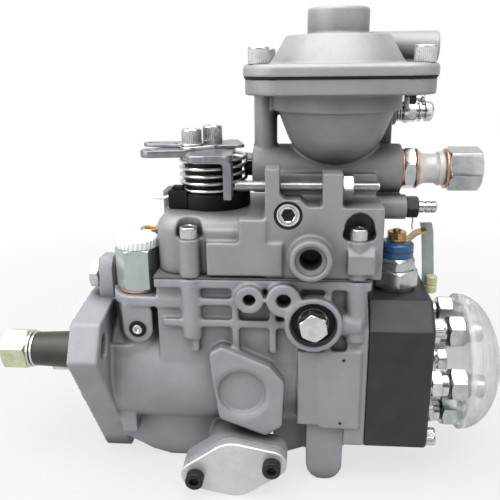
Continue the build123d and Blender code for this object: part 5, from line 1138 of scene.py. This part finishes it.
# ---- stop lever
def stop_lever(bm):
    """Shaft with its nut, ring stack and rounded end, and the plate with its pin."""
    shank(bm, "x", STOP, *span("stop_lever", "x"), 4.0)
    turned(bm, "x", STOP, hex_rows(189.0, 193.6, 12.0, 4.0), 72, 15)
    rows = [(193.6, 4.0), (193.6, 4.9), (195.0, 4.9), (195.0, 6.0), (195.3, 6.2), (196.2, 6.2), (196.5, 6.0),
            (196.5, 4.6), (198.6, 4.6), (198.6, 5.6), (199.2, 6.2)]
    rows += rounded(201.4, 2.6, 6.2, 3.0, 5)
    rows += [(203.4, 2.6), (203.4, 0)]
    turned(bm, "x", STOP, rows, 48)
    plate(bm, "x", 186.0, 189.0, hull_outline([(*STOP, 7.0), (37.0, 155.5, 4.0)]), 0.3)
    pin = [(193.0, 1.4), (196.4, 1.4), (196.6, 3.0), (197.4, 3.2), (197.8, 2.6), (198.8, 2.2), (198.8, 0)]
    turned(bm, "x", STOP_PIN, pin, 32)


def stop_knob(bm):
    turned(bm, "x", STOP_PIN, hex_rows(186.4, 193.2, 8.4), 72)


built("stop_lever_detail", "bright_screws", stop_lever, "stop_lever", body="stop")
built("stop_lever_knob", "black_screws", stop_knob, angle=25.0, body="stop")

# ---- other nodes keep their solid
record_slots = {subpart["node"]: subpart["material_slot"] for subpart in frame["record"]["subparts"]}
for node, piece in nodes.items():
    if not piece.hide_render:
        paint(piece, "gasket" if node == "rubber_seals" else record_slots[node])
        soften(piece.data, 32.0)


# ---- stage, light and camera
FLOOR_Z = cad_low[2] / MM - 0.1
FLOOR_HALF = 12000.0
FLOOR_GREY = 0.42
FADE_CENTRE = (100.0, 0.0, FLOOR_Z)
FADE_START = 120.0
FADE_END = 600.0
LEAST_GLOW = 0.72
WORLD_LEVEL = 0.27
ROOM_LEAN = (-0.42, 0.52, 0.74)
ROOM_RANGE = (-0.40, 0.45)
ROOM_DARK = 0.08
FOCAL_PX = 601.0
FRAME_PX = 500.0
SHIFT_PX = -3.0
TILT = radians(17.7)
HEADING = radians(4.8)
ROLL = radians(-0.7)
CAMERA_AT = Vector((125.9, -341.6, 178.7))


def build_floor():
    """Pale floor that keeps the shadow and fades to the white backdrop with the distance."""
    made, links, shader = new_material("pale_floor")
    set_inputs(shader, {"Base Color": (*grey(FLOOR_GREY), 1.0), "Roughness": 0.9, "Specular IOR Level": 0.1})
    place = add(made, "TexCoord")
    away = add(made, "VectorMath", {1: Vector(FADE_CENTRE) * MM}, "DISTANCE")
    links.new(place.outputs["Object"], away.inputs[0])
    fade = remap(made, links, away.outputs["Value"], FADE_START * MM, FADE_END * MM, LEAST_GLOW, 1.0)
    seen = seen_by(made, links, "Is Camera Ray", "Is Glossy Ray")[0]
    share = add(made, "Math", operation="MULTIPLY")
    links.new(fade, share.inputs[0])
    links.new(seen, share.inputs[1])
    mix = add(made, "MixShader")
    links.new(share.outputs["Value"], mix.inputs["Fac"])
    links.new(shader.outputs["BSDF"], mix.inputs[1])
    links.new(add(made, "Emission").outputs["Emission"], mix.inputs[2])
    links.new(mix.outputs["Shader"], made["Material Output"].inputs["Surface"])
    mesh = bpy.data.meshes.new("floor")
    corners = ((-1, -1), (1, -1), (1, 1), (-1, 1))
    mesh.from_pydata([(x * FLOOR_HALF * MM, y * FLOOR_HALF * MM, FLOOR_Z * MM) for x, y in corners],
                     [], [(0, 1, 2, 3)])
    mesh.materials.append(MATERIALS["pale_floor"])
    placed("floor", mesh)


def build_world():
    """White backdrop, an even grey that lights the object, and a room that metal mirrors.

    The room is darker in front and on the right.
    """
    world = bpy.data.worlds.new("studio")
    scene.world = world
    world.use_nodes = True
    made, links = world.node_tree.nodes, world.node_tree.links
    back = made["Background"]
    seen, path = seen_by(made, links, "Is Camera Ray", "Is Transmission Ray")
    place = add(made, "TexCoord")
    lean = add(made, "VectorMath", {1: ROOM_LEAN}, "DOT_PRODUCT")
    links.new(place.outputs["Generated"], lean.inputs[0])
    room = remap(made, links, lean.outputs["Value"], *ROOM_RANGE, ROOM_DARK, 1.0)
    glossy = add(made, "Mix", {"A": WORLD_LEVEL})
    links.new(path.outputs["Is Glossy Ray"], glossy.inputs["Factor"])
    links.new(room, glossy.inputs["B"])
    level = add(made, "Mix", {"B": 1.0})
    links.new(seen, level.inputs["Factor"])
    links.new(glossy.outputs["Result"], level.inputs["A"])
    links.new(level.outputs["Result"], back.inputs["Strength"])
    set_inputs(back, {"Color": (1.0, 1.0, 1.0, 1.0)})


def area_light(name, place, target, size, watts):
    data = bpy.data.lights.new(name, "AREA")
    data.shape = "RECTANGLE"
    data.size = size[0] * MM
    data.size_y = size[1] * MM
    data.energy = watts
    lamp = placed(name, data)
    lamp.location = Vector(place) * MM
    lamp.rotation_mode = "QUATERNION"
    lamp.rotation_quaternion = (Vector(target) - Vector(place)).to_track_quat("-Z", "Y")


def build_camera():
    """Camera given by its place, its tilt, heading and roll, and its focal length in pixels."""
    ahead_level = Vector((-sin(HEADING), cos(HEADING), 0))
    right = Vector((cos(HEADING), sin(HEADING), 0))
    ahead = ahead_level * cos(TILT) + Vector((0, 0, -sin(TILT)))
    up = right.cross(ahead)
    rolled_right = right * cos(ROLL) + up * sin(ROLL)
    rolled_up = up * cos(ROLL) - right * sin(ROLL)
    data = bpy.data.cameras.new("camera")
    data.lens = data.sensor_width * FOCAL_PX / FRAME_PX
    data.shift_x = SHIFT_PX / FRAME_PX
    data.clip_start = 10.0 * MM
    camera = placed("camera", data)
    turn = Matrix((rolled_right, rolled_up, -ahead)).transposed().to_4x4()
    camera.matrix_world = Matrix.Translation(CAMERA_AT * MM) @ turn
    scene.camera = camera


build_floor()
build_world()
area_light("top", (30, -150, 800), (110, 0, 40), (1100, 900), 12.5)
area_light("left", (-440, -420, 360), (90, 0, 40), (700, 700), 3.8)
area_light("right", (560, -260, 360), (130, 0, 40), (600, 600), 1.3)
build_camera()
scene.view_settings.view_transform = "Standard"
